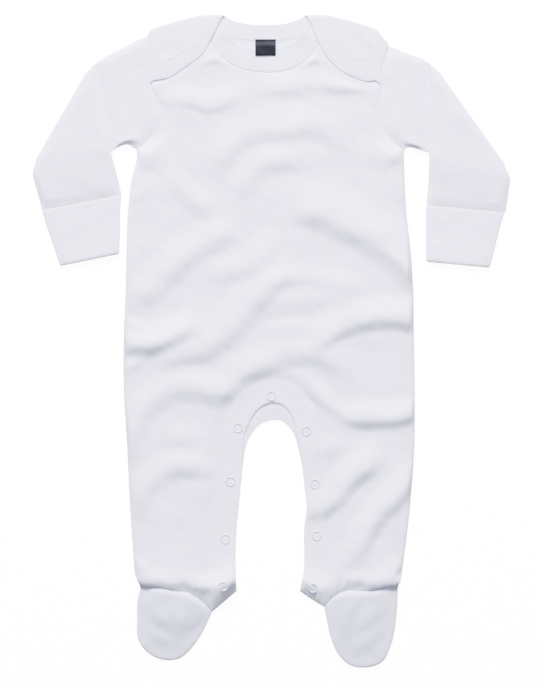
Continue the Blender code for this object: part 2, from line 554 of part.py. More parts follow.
def build_front(collection):
    """Front, lying on the back, and the neckband sewn to its neckline."""
    def tucked_top(low, high):
        """Top edge of the front inside the shoulder's roll, further down where the shoulder is steep."""
        across = np.linspace(low, high, 10)
        start = fold_start(across)
        steepness = np.abs(fold_start(across + 2.0) - fold_start(across - 2.0)) / 4.0
        return np.column_stack([across, start - GAP - TUCK_SLOPE * steepness])

    arm_r = ARMHOLE_R[ARMHOLE_R[:, 1] < fold_start(ARMHOLE_R[:, 0]) - ARMHOLE_CLEAR]
    arm_l = ARMHOLE_L[ARMHOLE_L[:, 1] < fold_start(ARMHOLE_L[:, 0]) - ARMHOLE_CLEAR]
    right_end, left_end = leg_end(RIGHT_FOOT), leg_end(LEFT_FOOT)
    top_r = tucked_top(arm_r[-1, 0] + ARMHOLE_CLEAR, NECK_EDGE_F[0, 0])
    top_l = tucked_top(NECK_EDGE_F[-1, 0], arm_l[-1, 0] - ARMHOLE_CLEAR)
    pattern = joined(
        RIGHT_SIDE[1:], shifted(arm_r, -SEAM)[1:], top_r, NECK_EDGE_F[1:-1], top_l,
        shifted(arm_l[::-1], -SEAM)[:-1], LEFT_SIDE[:-1], left_end[:-1], LEFT_INNER[::-1],
        FRONT_ARCH[::-1][1:], RIGHT_INNER[::-1][1:], right_end[::-1][1:])
    above = [(PATTERN_SIDE, PATTERN_TOP), (-PATTERN_SIDE, PATTERN_TOP)]

    def neck_seam(cut_back):
        """Seam of the front neckband, cut back to one side, run on up inside the shoulders."""
        seam = shifted(NECK_SEAM_F, cut_back)
        out, up = NECK_RUN_OUT
        return np.vstack([seam[0] + [-out, up], seam, seam[-1] + [out, up]])

    pleats = []
    for foot in (RIGHT_FOOT, LEFT_FOOT):
        heel = curve(foot.heel)
        heel = heel[np.argsort(heel[:, 0])]
        for x in np.arange(math.ceil(heel[0, 0] / GATHER_PITCH * 2), heel[-1, 0] / GATHER_PITCH * 2):
            foot_of = np.interp(x * GATHER_PITCH / 2, heel[:, 0], heel[:, 1])
            pleats.append(np.array([(x * GATHER_PITCH / 2, foot_of + up) for up in GATHER_ROWS]))
    panel_seam, band_seam = neck_seam(-SEAM), neck_seam(SEAM)
    panel_side = np.vstack([panel_seam, above])
    band_side = np.vstack([band_seam, above])
    flat, faces = cut_cloth([pattern], lambda p: inside(pattern, p) & ~inside(panel_side, p),
                            FRONT_STEP, [panel_seam, *pleats, shifted(FLAP_R, -FLAP_CLEAR)[1:-3],
                                         shifted(FLAP_L, FLAP_CLEAR)[1:-3]])
    height = LAYER + front_height(flat)
    add_sheet("front_panel", np.column_stack([flat, height]), faces, CLOTH, collection)
    flat, faces = cut_cloth([pattern], lambda p: inside(pattern, p) & inside(band_side, p),
                            FLAT_STEP, [band_seam])
    add_sheet("front_neckband", np.column_stack([flat, np.full(len(flat), LAYER)]), faces, BAND, collection)


def build_label(collection):
    """Label: flat at the back neck seam, then a step up onto the front neckband."""
    across = np.linspace(-LABEL_WIDTH / 2, LABEL_WIDTH / 2, 3) + LABEL_CENTRE
    down = np.linspace(0.0, LABEL_LENGTH, 9)
    x, y = np.meshgrid(across, LABEL_TOP - down)
    z = LAYER + LAYER * smooth_step((down - LABEL_STEP_START) / LABEL_STEP_LENGTH)[:, None] * np.ones_like(x)
    points = np.column_stack([x.ravel(), y.ravel(), z.ravel()])
    columns = len(across)
    corner = (np.arange(len(down) - 1)[:, None] * columns + np.arange(columns - 1)).ravel()
    faces = np.vstack([np.column_stack([corner, corner + columns, corner + columns + 1]),
                       np.column_stack([corner, corner + columns + 1, corner + 1])])
    add_sheet("label", points, faces, LABEL_CLOTH, collection)


# ---------------------------------------------------------------- sleeves and cuffs
def tube_loop(wall, height, spans):
    """Outer and inner loop of a flattened tube: at each point how far from the upper edge it lies, as a
    share of the width and as a length to add, and its height."""
    radius = height / 2
    loops = []
    for inner in (0.0, wall):
        small = radius - inner
        share = np.linspace(0.0, 1.0, spans + 1)
        turn = np.linspace(-math.pi / 2, math.pi / 2, EDGE_STEPS + 1)[1:-1]
        low_edge = [(1.0, -radius + small * math.cos(a), radius + small * math.sin(a)) for a in turn]
        top_edge = [(0.0, radius - small * math.cos(a), radius - small * math.sin(a)) for a in turn]
        under = [(s, radius * (1 - 2 * s), inner) for s in share]
        upper = [(s, radius * (1 - 2 * s), height - inner) for s in share[::-1]]
        loops.append(under + low_edge + upper + top_edge)
    return np.array(loops)


def ring(section, loops, bow_curve):
    """Plan positions and heights of a section's two loops; the section bows as the armhole does."""
    top, low = np.array(section.top), np.array(section.low)
    across = (low - top) / np.hypot(*(low - top))
    share, length, height = loops[..., 0], loops[..., 1], loops[..., 2]
    place = top + share[..., None] * (low - top) + length[..., None] * across
    if section.bow > 0:
        run = np.linspace(0.0, 1.0, len(bow_curve))
        straight = bow_curve[0] + run[:, None] * (bow_curve[-1] - bow_curve[0])
        bulge = bow_curve - straight
        place = place + section.bow * np.stack([np.interp(share, run, bulge[:, 0]),
                                                np.interp(share, run, bulge[:, 1])], axis=-1)
    return place, height


def loft(name, rings, finish, collection):
    """Closed tube wall through rings of one outer and one inner loop each."""
    rings = np.array(rings)
    count, _, around, _ = rings.shape
    points = rings.reshape(-1, 3)

    def at(row, side, place):
        return (row * 2 + side) * around + place % around

    faces = []
    for row in range(count - 1):
        for side in (0, 1):
            faces += [(at(row, side, i), at(row, side, i + 1), at(row + 1, side, i + 1), at(row + 1, side, i))
                      for i in range(around)]
    for row in (0, count - 1):
        faces += [(at(row, 0, i), at(row, 1, i), at(row, 1, i + 1), at(row, 0, i + 1)) for i in range(around)]
    made = add_object(name, points, faces, finish, collection)
    work = bmesh.new()
    work.from_mesh(made.data)
    bmesh.ops.recalc_face_normals(work, faces=work.faces)
    work.to_mesh(made.data)
    work.free()
    made.data.shade_smooth()
    made.data.set_sharp_from_angle(angle=math.radians(40))


def build_sleeve(name, arm, forearm, armhole, collection):
    """Flattened sleeve: out from the armhole, round the elbow fold, and down to the cuff."""
    loops = tube_loop(WALL, SLEEVE_HEIGHT, SLEEVE_SPANS)
    fold_top, fold_low = np.array(arm[-1].top), np.array(arm[-1].low)
    along = (fold_low - fold_top) / np.hypot(*(fold_low - fold_top))
    outward = np.array([-along[1], along[0]]) * math.copysign(1.0, -along[1] * fold_top[0])
    seam = armhole[::-1]
    away = shifted(seam, SLEEVE_SEAM if fold_top[0] > 0 else -SLEEVE_SEAM)
    rings = []
    for section in arm[:-1]:
        start = Section(away[0], away[-1], 1.0) if section.bow == 1.0 else section
        place, height = ring(start, loops, away)
        rings.append(np.concatenate([place, height[..., None]], axis=-1))
    fold = Section(fold_top - outward * ELBOW_RADIUS, fold_low - outward * ELBOW_RADIUS, 0.0)
    place, height = ring(fold, loops, away)
    for turn in np.linspace(0.0, math.pi, ELBOW_STEPS + 1):
        reach = ELBOW_RADIUS - height
        bent = place + outward * (reach * math.sin(turn))[..., None]
        rings.append(np.concatenate([bent, (ELBOW_RADIUS - reach * math.cos(turn))[..., None]], axis=-1))
    edge_low, edge_high = np.array(arm[-1].low), np.array(arm[2].low)
    edge = (edge_high - edge_low) / np.hypot(*(edge_high - edge_low))
    down = np.array([edge[1], -edge[0]]) * math.copysign(1.0, edge[0])
    for section in forearm:
        place, height = ring(section, loops, away)
        below = (place - edge_low) @ down
        lower = (2 * ELBOW_RADIUS - SLEEVE_HEIGHT) * smooth_step(
            (below - FOREARM_DROP_START) / FOREARM_DROP_LENGTH)
        rings.append(np.concatenate([place, (2 * ELBOW_RADIUS - height - lower)[..., None]], axis=-1))
    loft(name, rings, CLOTH, collection)


def build_cuff(name, sections, collection):
    """Doubled cuff band, a flattened tube that carries the sleeve on."""
    loops = tube_loop(CUFF_WALL, 2 * CUFF_WALL + GAP, CUFF_SPANS)
    rings = []
    for section in sections:
        place, height = ring(section, loops, None)
        rings.append(np.concatenate([place, height[..., None]], axis=-1))
    loft(name, rings, BAND, collection)


# ---------------------------------------------------------------- feet, snaps
def build_foot(side, foot, ankle, collection):
    """Foot top, tucked a little way under the leg's hem, and the sole with the heel below it."""
    dome, toe, tuck = curve(foot.dome), curve(foot.toe), np.array(foot.tuck, dtype=float)
    toe[0] = toe[0] - [0.0, 2 * GAP]
    loop = joined(dome[:-1] - [0.0, GAP], toe, tuck)
    flat, faces = cut_cloth([loop], lambda p: inside(loop, p), FOOT_STEP)
    rim = np.vstack([loop, loop[:1]])
    stand = FOOT_CROWN * smooth_step(distance_to(rim, flat) / FOOT_CROWN_WIDTH)
    add_sheet(f"{side}_foot_top", np.column_stack([flat, LAYER + stand]), faces, CLOTH, collection)
    heel = curve(foot.heel)
    sole = joined(ankle - [0.0, GAP], heel[::-1] - [0.0, GAP], toe[1:])
    flat, faces = cut_cloth([sole], lambda p: inside(sole, p), FLAT_STEP)
    add_sheet(f"{side}_foot_sole", np.column_stack([flat, np.zeros(len(flat))]), faces, CLOTH, collection)


def build_snap(snap, collection):
    """Ring cap of a snap: a turned profile that stands on the front's snap edge."""
    turn = np.linspace(0.0, 2 * math.pi, 9)[:, None]
    under = np.vstack([[snap.x, snap.y], [snap.x, snap.y] + SNAP_PROFILE[0][0] * np.hstack(
        [np.cos(turn), np.sin(turn)])])
    seat = LAYER + front_height(under).max() + WALL + GAP
    points = [(0.0, 0.0, 0.0)] + [(radius, 0.0, height) for radius, height in SNAP_PROFILE]
    made = add_object(snap.name, points, [], SNAP_FINISH, collection)
    mesh = made.data
    mesh.edges.add(len(points) - 1)
    mesh.edges.foreach_set("vertices", [i for k in range(len(points) - 1) for i in (k, k + 1)])
    mesh.update()
    made.location = Vector((snap.x, snap.y, seat)) * MM
    turned = made.modifiers.new("turned", "SCREW")
    turned.axis = "Z"
    turned.steps = SNAP_SIDES
    turned.render_steps = SNAP_SIDES
    turned.use_merge_vertices = True
    turned.merge_threshold = 0.00001
    turned.use_normal_calculate = True


def main():
    for old in list(bpy.data.objects):
        bpy.data.objects.remove(old, do_unlink=True)
    collection = bpy.data.collections.new("baby sleepsuit")
    bpy.context.scene.collection.children.link(collection)
    build_back(collection)
    build_front(collection)
    build_label(collection)
    build_sleeve("right_sleeve", RIGHT_ARM, RIGHT_FOREARM, ARMHOLE_R, collection)
    build_sleeve("left_sleeve", LEFT_ARM, LEFT_FOREARM, ARMHOLE_L, collection)
    build_cuff("right_cuff", RIGHT_CUFF, collection)
    build_cuff("left_cuff", LEFT_CUFF, collection)
    build_foot("right", RIGHT_FOOT, BACK_ANKLE_R, collection)
    build_foot("left", LEFT_FOOT, BACK_ANKLE_L, collection)
    for snap in SNAPS:
        build_snap(snap, collection)


main()
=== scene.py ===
"""Footed baby sleepsuit in white cotton knit, laid flat on its back: the finish and finer form of each piece.

The tables hold millimetres and the meshes metres, in the model's own frame: +X is the wearer's left, +Y runs
to the neck and +Z up from the surface that the suit lies on.
"""
import math

import bpy
import numpy as np
from mathutils.bvhtree import BVHTree
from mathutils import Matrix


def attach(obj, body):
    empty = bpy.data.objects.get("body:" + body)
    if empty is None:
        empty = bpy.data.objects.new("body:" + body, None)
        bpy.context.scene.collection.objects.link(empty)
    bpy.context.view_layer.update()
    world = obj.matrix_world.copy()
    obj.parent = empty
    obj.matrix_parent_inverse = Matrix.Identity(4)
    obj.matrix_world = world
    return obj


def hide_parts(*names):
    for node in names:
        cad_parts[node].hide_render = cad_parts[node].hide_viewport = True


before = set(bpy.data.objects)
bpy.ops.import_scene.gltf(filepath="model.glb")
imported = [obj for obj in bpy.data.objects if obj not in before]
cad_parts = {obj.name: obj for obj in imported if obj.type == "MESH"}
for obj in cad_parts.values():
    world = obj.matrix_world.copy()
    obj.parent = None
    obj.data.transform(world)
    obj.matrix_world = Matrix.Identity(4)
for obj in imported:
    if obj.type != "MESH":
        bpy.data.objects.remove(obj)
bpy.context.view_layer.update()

# ------------------------------------------------------------------ back with its shoulder flaps
# The back is one piece of interlock knit from the ankles up, cut in one with two shoulder flaps that fold
# over the shoulders and lie on the front. It is joined to the front at the side seams and underarms.
MM = 0.001
WALL = 1.0                      # cloth thickness
GAP = 0.3                       # air between one layer and the next
LAYER = WALL + GAP
NECKBAND_WIDTH = 14.0
SHOULDER_RADIUS = (3 * WALL + 2 * GAP) / 2
SHOULDER_ROLL = math.pi * (SHOULDER_RADIUS - WALL / 2)
ROLL_ROWS = 10
EDGE_ROUND = 1.6                # the outer face turns down over this much of an edge
EDGE_DROP = 0.82                # share of the wall by which it turns down
SEAM_DROP = 0.22                # the same at a seam pressed flat
SEAM_LAP = 0.3                  # one piece of a seam reaches this far under the other
UNDER_DROP = 0.16               # and round the underside of the back's crotch and inner legs
STRIP_RISE = 0.75               # the strip seen past the front's crotch edge slopes up to it
STRIP_WIDTH = 12.0
STRIP_END = (-104.0, 22.0)      # it starts at this height on the legs and grows over this much
FOLD_END = 34.0                 # a crease dies out over this much at each end
KNIT_MOTTLE = 0.03              # blotches in the knit are darker by this share

# Soft creases in the flaps, as they lie on the front. Each: the line at the foot of its steep side, from the
# wearer's right to the left; how far the cloth stands up above the line; half the steep side's width; and the
# width over which it sinks back.
FLAP_CREASES = (
    (((-99, 254), (-93, 264), (-84, 268)), 0.5, 2.5, 7.0),
    (((-96, 240), (-90, 248), (-80, 251)), 0.45, 2.5, 6.0),
    (((-72, 250), (-64, 262), (-62, 276)), 0.4, 3.0, 7.0),
    (((62, 278), (66, 262), (76, 250)), 0.4, 3.0, 7.0),
    (((78, 268), (90, 262), (94, 250)), 0.55, 2.5, 7.0),
    (((92, 242), (98, 236), (101, 230)), 0.4, 2.5, 6.0),
    (((80, 276), (96, 270), (100, 262)), 0.45, 2.5, 6.0),
)

SIDE_HEIGHT = (170.0, 163.8, 145.0, 115.0, 80.0, 45.0, 0.0, -45.0, -90.0, -145.0, -190.0, -208.0)
RIGHT_SIDE = (-117.5, -117.5, -121.9, -125.5, -126.8, -127.6, -129.4, -129.2, -126.5, -123.8, -120.8, -119.4)
LEFT_SIDE = (120.2, 120.2, 120.7, 122.3, 126.2, 128.5, 129.1, 129.8, 129.6, 125.8, 120.6, 118.0)
INNER_HEIGHT = (-112.0, -129.0, -146.0, -165.0, -208.0, -222.5)
RIGHT_INNER = (-23.3, -25.0, -26.7, -28.6, -29.4, -28.5)
LEFT_INNER = (29.6, 31.4, 33.4, 31.4, 30.3, 27.2)
BACK_CROTCH = ((-23.3, -112.0), (-21.4, -98.0), (-18.6, -88.5), (-14.2, -81.0), (-7.1, -74.0), (2.7, -70.6),
               (11.6, -71.4), (17.4, -76.0), (22.0, -83.0), (26.4, -97.0), (29.6, -112.0))
FRONT_CROTCH = ((-23.3, -112.0), (-22.6, -92.0), (-21.6, -83.0), (-17.8, -74.0), (-11.6, -63.2), (-5.3, -57.8),
                (3.1, -55.2), (11.6, -57.0), (17.6, -62.8), (21.4, -71.0), (24.4, -83.0), (27.0, -98.0),
                (29.6, -112.0))
RIGHT_ARMHOLE = ((-117.5, 170.0), (-106.5, 179.5), (-98.8, 189.6), (-96.3, 202.0), (-98.6, 213.0),
                 (-103.1, 224.0), (-105.3, 233.0), (-107.8, 245.6), (-109.0, 258.2), (-107.8, 271.6))
LEFT_ARMHOLE = ((120.2, 170.0), (110.5, 177.0), (104.1, 184.5), (99.4, 201.0), (98.3, 214.0), (98.8, 227.0),
                (100.2, 239.4), (103.2, 250.5), (106.4, 262.6))
SHOULDERS = ((-107.8, 273.4), (-104.1, 277.3), (-97.9, 279.8), (-89.9, 282.1), (-74.8, 286.6), (-65.2, 288.7),
             (-53.8, 290.3), (-40.0, 290.1), (32.9, 290.1), (44.5, 290.3), (52.5, 289.7), (59.6, 287.9),
             (73.0, 284.8), (89.0, 279.6), (95.2, 277.2), (102.4, 269.0), (106.4, 264.4))
RIGHT_FLAP = ((-105.4, 228.8), (-97.0, 230.3), (-90.8, 232.6), (-82.8, 237.4), (-75.7, 242.1), (-66.8, 248.8),
              (-58.7, 255.4), (-52.6, 264.3), (-48.1, 276.0), (-44.4, 283.4))
LEFT_FLAP = ((98.8, 227.0), (91.7, 228.6), (84.6, 230.5), (76.5, 233.4), (66.8, 238.3), (59.6, 243.3),
             (52.5, 250.9), (45.0, 262.4), (39.6, 275.6), (36.6, 283.4))
BACK_NECK = ((-36.0, 287.0), (-32.0, 284.9), (-25.8, 283.2), (-16.9, 281.7), (-3.6, 281.0), (11.6, 281.9),
             (18.7, 283.3), (24.5, 285.2), (28.8, 287.0))
RIGHT_ANKLE = ((-115.2, -217.6), (-70.0, -220.6), (-28.5, -222.2))
LEFT_ANKLE = ((115.8, -216.8), (72.0, -220.2), (27.2, -222.2))


def smooth_step(value):
    """0 below 0, 1 above 1, and a smooth S between them."""
    part = np.clip(value, 0.0, 1.0)
    return part * part * (3.0 - 2.0 * part)


def lengths(line):
    """Distance walked along a line at each of its points."""
    return np.concatenate([[0.0], np.cumsum(np.hypot(*np.diff(line, axis=0).T))])


def walked(line, at):
    """Points of a line at the given distances along it."""
    run = lengths(line)
    return np.column_stack([np.interp(at, run, line[:, 0]), np.interp(at, run, line[:, 1])])


def spans(given, at, where):
    """Smooth values between rows that are given at places "at": cubic spans with the rows' own slopes."""
    chord = np.diff(at)
    slope = np.gradient(given, at, axis=0)
    span = np.clip(np.searchsorted(at, where, side="right") - 1, 0, len(chord) - 1)
    t = ((where - at[span]) / chord[span])[:, None]
    length = chord[span][:, None]
    return ((2 * t**3 - 3 * t**2 + 1) * given[span] + (t**3 - 2 * t**2 + t) * length * slope[span]
            + (3 * t**2 - 2 * t**3) * given[span + 1] + (t**3 - t**2) * length * slope[span + 1])


def curve(points, step=1.0):
    """Even steps along a smooth curve through the given points."""
    given = np.array(points, dtype=float)
    at = lengths(given)
    line = spans(given, at, np.linspace(0.0, at[-1], 40 * len(given)))
    whole = lengths(line)[-1]
    return walked(line, np.linspace(0.0, whole, max(3, int(round(whole / step)) + 1)))


def shifted(line, distance):
    """The line moved sideways, to the left of the way it runs."""
    along = np.gradient(line, axis=0)
    along /= np.hypot(along[:, 0], along[:, 1])[:, None]
    return line + distance * np.column_stack([-along[:, 1], along[:, 0]])


def near(line, points):
    """For each point, its distance from a line (positive to the left of the way it runs) and how far along
    the line its nearest place is."""
    start, run = line[:-1], np.diff(line, axis=0)
    length = np.hypot(run[:, 0], run[:, 1])
    offset = points[:, None] - start[None]
    part = np.clip((offset * run).sum(axis=2) / length**2, 0.0, 1.0)
    off = offset - part[..., None] * run
    away = np.hypot(off[..., 0], off[..., 1])
    nearest = away.argmin(axis=1)
    pick = (np.arange(len(points)), nearest)
    side = run[nearest, 0] * offset[pick][:, 1] - run[nearest, 1] * offset[pick][:, 0]
    return np.copysign(away[pick], side), lengths(line)[nearest] + part[pick] * length[nearest]


def patch(first, last, left, right, passes=500):
    """Grid of points inside four edges: "first" and "last" are its end rows, "left" and "right" its end
    columns. It starts as a blend of the edges; then each inside point moves, pass by pass, until the grid
    lines run smoothly and nearly square to each other (Winslow's equations)."""
    u = np.linspace(0.0, 1.0, len(first))[None, :, None]
    v = np.linspace(0.0, 1.0, len(left))[:, None, None]
    grid = ((1 - v) * first[None] + v * last[None] + (1 - u) * left[:, None] + u * right[:, None]
            - (1 - v) * ((1 - u) * first[0] + u * first[-1]) - v * ((1 - u) * last[0] + u * last[-1]))
    for _ in range(passes):
        east, west, south, north = grid[1:-1, 2:], grid[1:-1, :-2], grid[2:, 1:-1], grid[:-2, 1:-1]
        across, down = (east - west) / 2, (south - north) / 2
        a = (down**2).sum(axis=2, keepdims=True)
        b = (across * down).sum(axis=2, keepdims=True)
        c = (across**2).sum(axis=2, keepdims=True)
        twist = (grid[2:, 2:] - grid[2:, :-2] - grid[:-2, 2:] + grid[:-2, :-2]) / 4
        grid[1:-1, 1:-1] = (a * (east + west) + c * (north + south) - 2 * b * twist) / (2 * (a + c) + 1e-9)
    return grid


def hemmed(grid):
    """The grid with two more lines close to each of its edges, where the cloth turns down."""
    for _ in range(2):
        first, last = grid[:1], grid[-1:]
        start = [first + share * (grid[1:2] - first) for share in (0.15, 0.45)]
        end = [last + share * (grid[-2:-1] - last) for share in (0.45, 0.15)]
        grid = np.concatenate([first, *start, grid[1:-1], *end, last]).swapaxes(0, 1)
    return grid


def quads(index):
    """Faces of a grid of point numbers, rows downwards and columns to the right, seen from above."""
    return np.stack([index[:-1, :-1], index[1:, :-1], index[1:, 1:], index[:-1, 1:]], axis=-1).reshape(-1, 4)


def halves_joined(right, left, first, last):
    """Points and faces of two half grids that share their inner column from row "first" to row "last"."""
    index_r = np.arange(right.shape[0] * right.shape[1]).reshape(right.shape[:2])
    index_l = index_r.size + np.arange(left.shape[0] * left.shape[1]).reshape(left.shape[:2])
    index_l[first:last + 1, -1] = index_r[first:last + 1, -1]
    faces = np.vstack([quads(index_r), quads(index_l)[:, ::-1]])
    points = np.vstack([right.reshape(-1, right.shape[2]), left.reshape(-1, left.shape[2])])
    used, again = np.unique(faces, return_inverse=True)
    return points[used], again.reshape(faces.shape)


def on_suit(name, points, faces, place, finishes, sharp=None, around=0.0):
    """Mesh object from points in millimetres, riding on the suit, with edges sharp above an angle in degrees.
    Each point's place on the flat pattern is the UV map "cloth" in metres; on a tube, that pattern meets
    itself after "around"."""
    mesh = bpy.data.meshes.new(name)
    mesh.from_pydata((points * MM).tolist(), [], faces)
    corners = np.zeros(len(mesh.loops), dtype=np.int32)
    mesh.loops.foreach_get("vertex_index", corners)
    place = place[corners]
    if around:
        place = place.reshape(-1, 4, 2)
        back = place[..., :1] < place[..., :1].max(axis=1, keepdims=True) - around / 2
        place = place + back * np.array([around, 0.0])
    mesh.uv_layers.new(name="cloth").data.foreach_set("uv", (place * MM).astype(np.float32).ravel())
    mesh.shade_smooth()
    if sharp:
        mesh.set_sharp_from_angle(angle=math.radians(sharp))
    for finish in finishes:
        mesh.materials.append(finish)
    made = bpy.data.objects.new(name, mesh)
    bpy.context.scene.collection.objects.link(made)
    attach(made, "root")
    return made


def piece(name, points, faces, pattern, finish, node, around=0.0):
    """Cloth object that stands for one of the suit's solids."""
    made = on_suit(name, points, faces.tolist(), pattern, [finish], 50, around)
    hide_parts(node)
    return made


def edge_fall(off, drop=EDGE_DROP):
    """How far the outer face falls at an edge: a quarter of a round over the last of the cloth."""
    inward = np.clip(1.0 - off / EDGE_ROUND, 0.0, 1.0)
    return drop * WALL * (1.0 - np.sqrt(1.0 - inward**2))


def fold_height(points, line, rise, flank, fade):
    """Rise of one fold: an S up across its line, three quarters of it over the flank and the rest over a wider
    one; a slow fall beyond; and a long run-out at both ends."""
    line = curve(line, 4.0)
    across, along = near(line, points)
    whole = lengths(line)[-1]
    end = min(FOLD_END, 0.45 * whole)
    ends = smooth_step(along / end) * smooth_step((whole - along) / end)
    steep = 0.75 * smooth_step((across + flank) / (2 * flank)) + 0.25 * smooth_step((across + 2.6 * flank)
                                                                                     / (5.2 * flank))
    return rise * ends * steep * (1 - smooth_step((across - flank) / fade))


def ripple(points, pitch, seed, count=14):
    """Soft uneven rise and fall between -1 and 1: a sum of waves of about the given pitch, each in its own
    direction and bent by the others."""
    random = np.random.default_rng(seed)
    turn = random.uniform(0.0, math.pi, count)
    size = 2 * math.pi / (pitch * random.uniform(0.7, 1.6, count))
    phase = random.uniform(0.0, 2 * math.pi, count)
    bent = points + 0.25 * pitch * np.column_stack([np.sin(points[:, 1] / pitch), np.cos(points[:, 0] / pitch)])
    wave = np.sin(size * (np.cos(turn) * bent[:, :1] + np.sin(turn) * bent[:, 1:]) + phase)
    return wave.sum(axis=1) / math.sqrt(count)


def near_any(lines, points):
    """Distance of each point from the nearest of several lines."""
    return np.min([np.abs(near(np.vstack([line[:-1:3], line[-1:]]), points)[0]) for line in lines], axis=0)


def walled(under, upper, faces):
    """Closed wall: under surface, upper surface and the rim between them."""
    count = len(under)
    sides = np.vstack([faces[:, [k, (k + 1) % 4]] for k in range(4)])
    codes = sides[:, 0] * count + sides[:, 1]
    rim = sides[~np.isin(codes, sides[:, 1] * count + sides[:, 0]) & (sides[:, 0] != sides[:, 1])]
    return (np.vstack([under, upper]),
            np.vstack([faces[:, ::-1], faces + count, np.column_stack([rim, rim[:, ::-1] + count])]))


def material(name, shown, values):
    """New material with the given values at its shader's inputs, and its node tree."""
    made = bpy.data.materials.new(name)
    made.use_nodes = True
    made.diffuse_color = (*shown, 1.0)
    for key, value in values.items():
        made.node_tree.nodes["Principled BSDF"].inputs[key].default_value = value
    return made, made.node_tree


def shader_node(tree, kind, values=None, **settings):
    """New shader node with the given settings, and the given values at its inputs."""
    made = tree.nodes.new(f"ShaderNode{kind}")
    for key, value in settings.items():
        setattr(made, key, value)
    for key, value in (values or {}).items():
        made.inputs[key].default_value = value
    return made


def bumped(tree, height, strength, depth):
    """Lay a height over the material's shader as bump."""
    bump = shader_node(tree, "Bump", {"Strength": strength, "Distance": depth})
    tree.links.new(height, bump.inputs["Height"])
    tree.links.new(bump.outputs["Normal"], tree.nodes["Principled BSDF"].inputs["Normal"])


def crossed_waves(tree, waves, values):
    """Sum of waves on the cloth's own map, each with its direction, its pitch in metres and its share."""
    uv = shader_node(tree, "UVMap", uv_map="cloth")
    total = None
    for axis, pitch, share in waves:
        wave = shader_node(tree, "TexWave", {"Scale": 2 * math.pi / (20 * pitch), **values}, bands_direction=axis)
        tree.links.new(uv.outputs["UV"], wave.inputs["Vector"])
        part = shader_node(tree, "Math", {1: share, 2: 0.0}, operation="MULTIPLY_ADD")
        tree.links.new(wave.outputs["Fac"], part.inputs[0])
        if total is not None:
            tree.links.new(total, part.inputs[2])
        total = part.outputs[0]
    return total


def knit(name, colour, wale, course, depth):
    """Matt cotton knit. Stitches are two crossed waves on the cloth's own map: wales "wale" metres apart and
    courses "course" apart; yarn unevenness and soft blotches are noise. All of it is bump, with a little
    mottling of the colour."""
    made, tree = material(name, colour, {"Roughness": 0.92, "Sheen Weight": 0.25, "Sheen Roughness": 0.6,
                                         "Specular IOR Level": 0.2})
    place = shader_node(tree, "TexCoord")
    yarn = shader_node(tree, "TexNoise", {"Scale": 900.0, "Detail": 3.0})
    blotch = shader_node(tree, "TexNoise", {"Scale": 160.0, "Detail": 5.0, "Roughness": 0.65})
    for noise in (yarn, blotch):
        tree.links.new(place.outputs["Object"], noise.inputs["Vector"])
    rough = shader_node(tree, "Math", {1: 0.8}, operation="MULTIPLY_ADD")
    tree.links.new(yarn.outputs["Fac"], rough.inputs[0])
    tree.links.new(crossed_waves(tree, (("X", wale, 0.6), ("Y", course, 0.4)),
                                 {"Distortion": 0.6, "Detail": 1.0, "Detail Scale": 2.0}), rough.inputs[2])
    bumped(tree, rough.outputs[0], 0.5, depth)
    ramp = shader_node(tree, "ValToRGB")
    for stop, at, share in zip(ramp.color_ramp.elements, (0.25, 0.75), (1 - KNIT_MOTTLE, 1.0)):
        stop.position = at
        stop.color = (*[c * share for c in colour], 1.0)
    tree.links.new(blotch.outputs["Fac"], ramp.inputs["Fac"])
    tree.links.new(ramp.outputs["Color"], tree.nodes["Principled BSDF"].inputs["Base Color"])
    return made


body_knit = knit("white cotton interlock", (0.78, 0.78, 0.87), 0.0008, 0.0007, 0.00022)

shoulder_line = curve(SHOULDERS)


def fold_start(x):
    """Height on the back at which its shoulder starts to roll over."""
    return np.interp(x, shoulder_line[:, 0], shoulder_line[:, 1]) - SHOULDER_RADIUS


def unfolded(line):
    """Flap points, given where they lie on the front, on the back's flat pattern."""
    return np.column_stack([line[:, 0], 2 * fold_start(line[:, 0]) + SHOULDER_ROLL - line[:, 1]])


def laid_back(points):
    """The back's pattern laid down: flat up to the shoulder, round the roll, then back over the front; and
    the way that its thickness runs."""
    x, y = points[:, 0], points[:, 1]
    start = fold_start(x)
    turn = np.clip((y - start) / SHOULDER_ROLL, 0.0, 1.0) * math.pi
    over = np.maximum(y - start - SHOULDER_ROLL, 0.0)
    folded = start + SHOULDER_RADIUS * np.sin(turn) - over
    laid = np.column_stack([x, np.where(y < start, y, folded), SHOULDER_RADIUS * (1 - np.cos(turn))])
    return laid, np.column_stack([np.zeros(len(x)), -np.sin(turn), np.cos(turn)])


side_r = curve(np.column_stack([RIGHT_SIDE, SIDE_HEIGHT]))       # underarm to ankle
side_l = curve(np.column_stack([LEFT_SIDE, SIDE_HEIGHT]))
inner_r = curve(np.column_stack([RIGHT_INNER, INNER_HEIGHT]))    # crotch to ankle
inner_l = curve(np.column_stack([LEFT_INNER, INNER_HEIGHT]))
armhole_r = curve(RIGHT_ARMHOLE)[::-1]                           # shoulder to underarm
armhole_l = curve(LEFT_ARMHOLE)[::-1]
flap_r = curve(RIGHT_FLAP)
flap_l = curve(LEFT_FLAP)
neck_edge = curve(np.vstack([unfolded(flap_r[::18]), BACK_NECK, unfolded(flap_l[::18])[::-1]]))
flap_side_r = unfolded(armhole_r[armhole_r[:, 1] > RIGHT_FLAP[0][1]])    # armhole along the flap
flap_side_l = unfolded(armhole_l[armhole_l[:, 1] > LEFT_FLAP[0][1]])


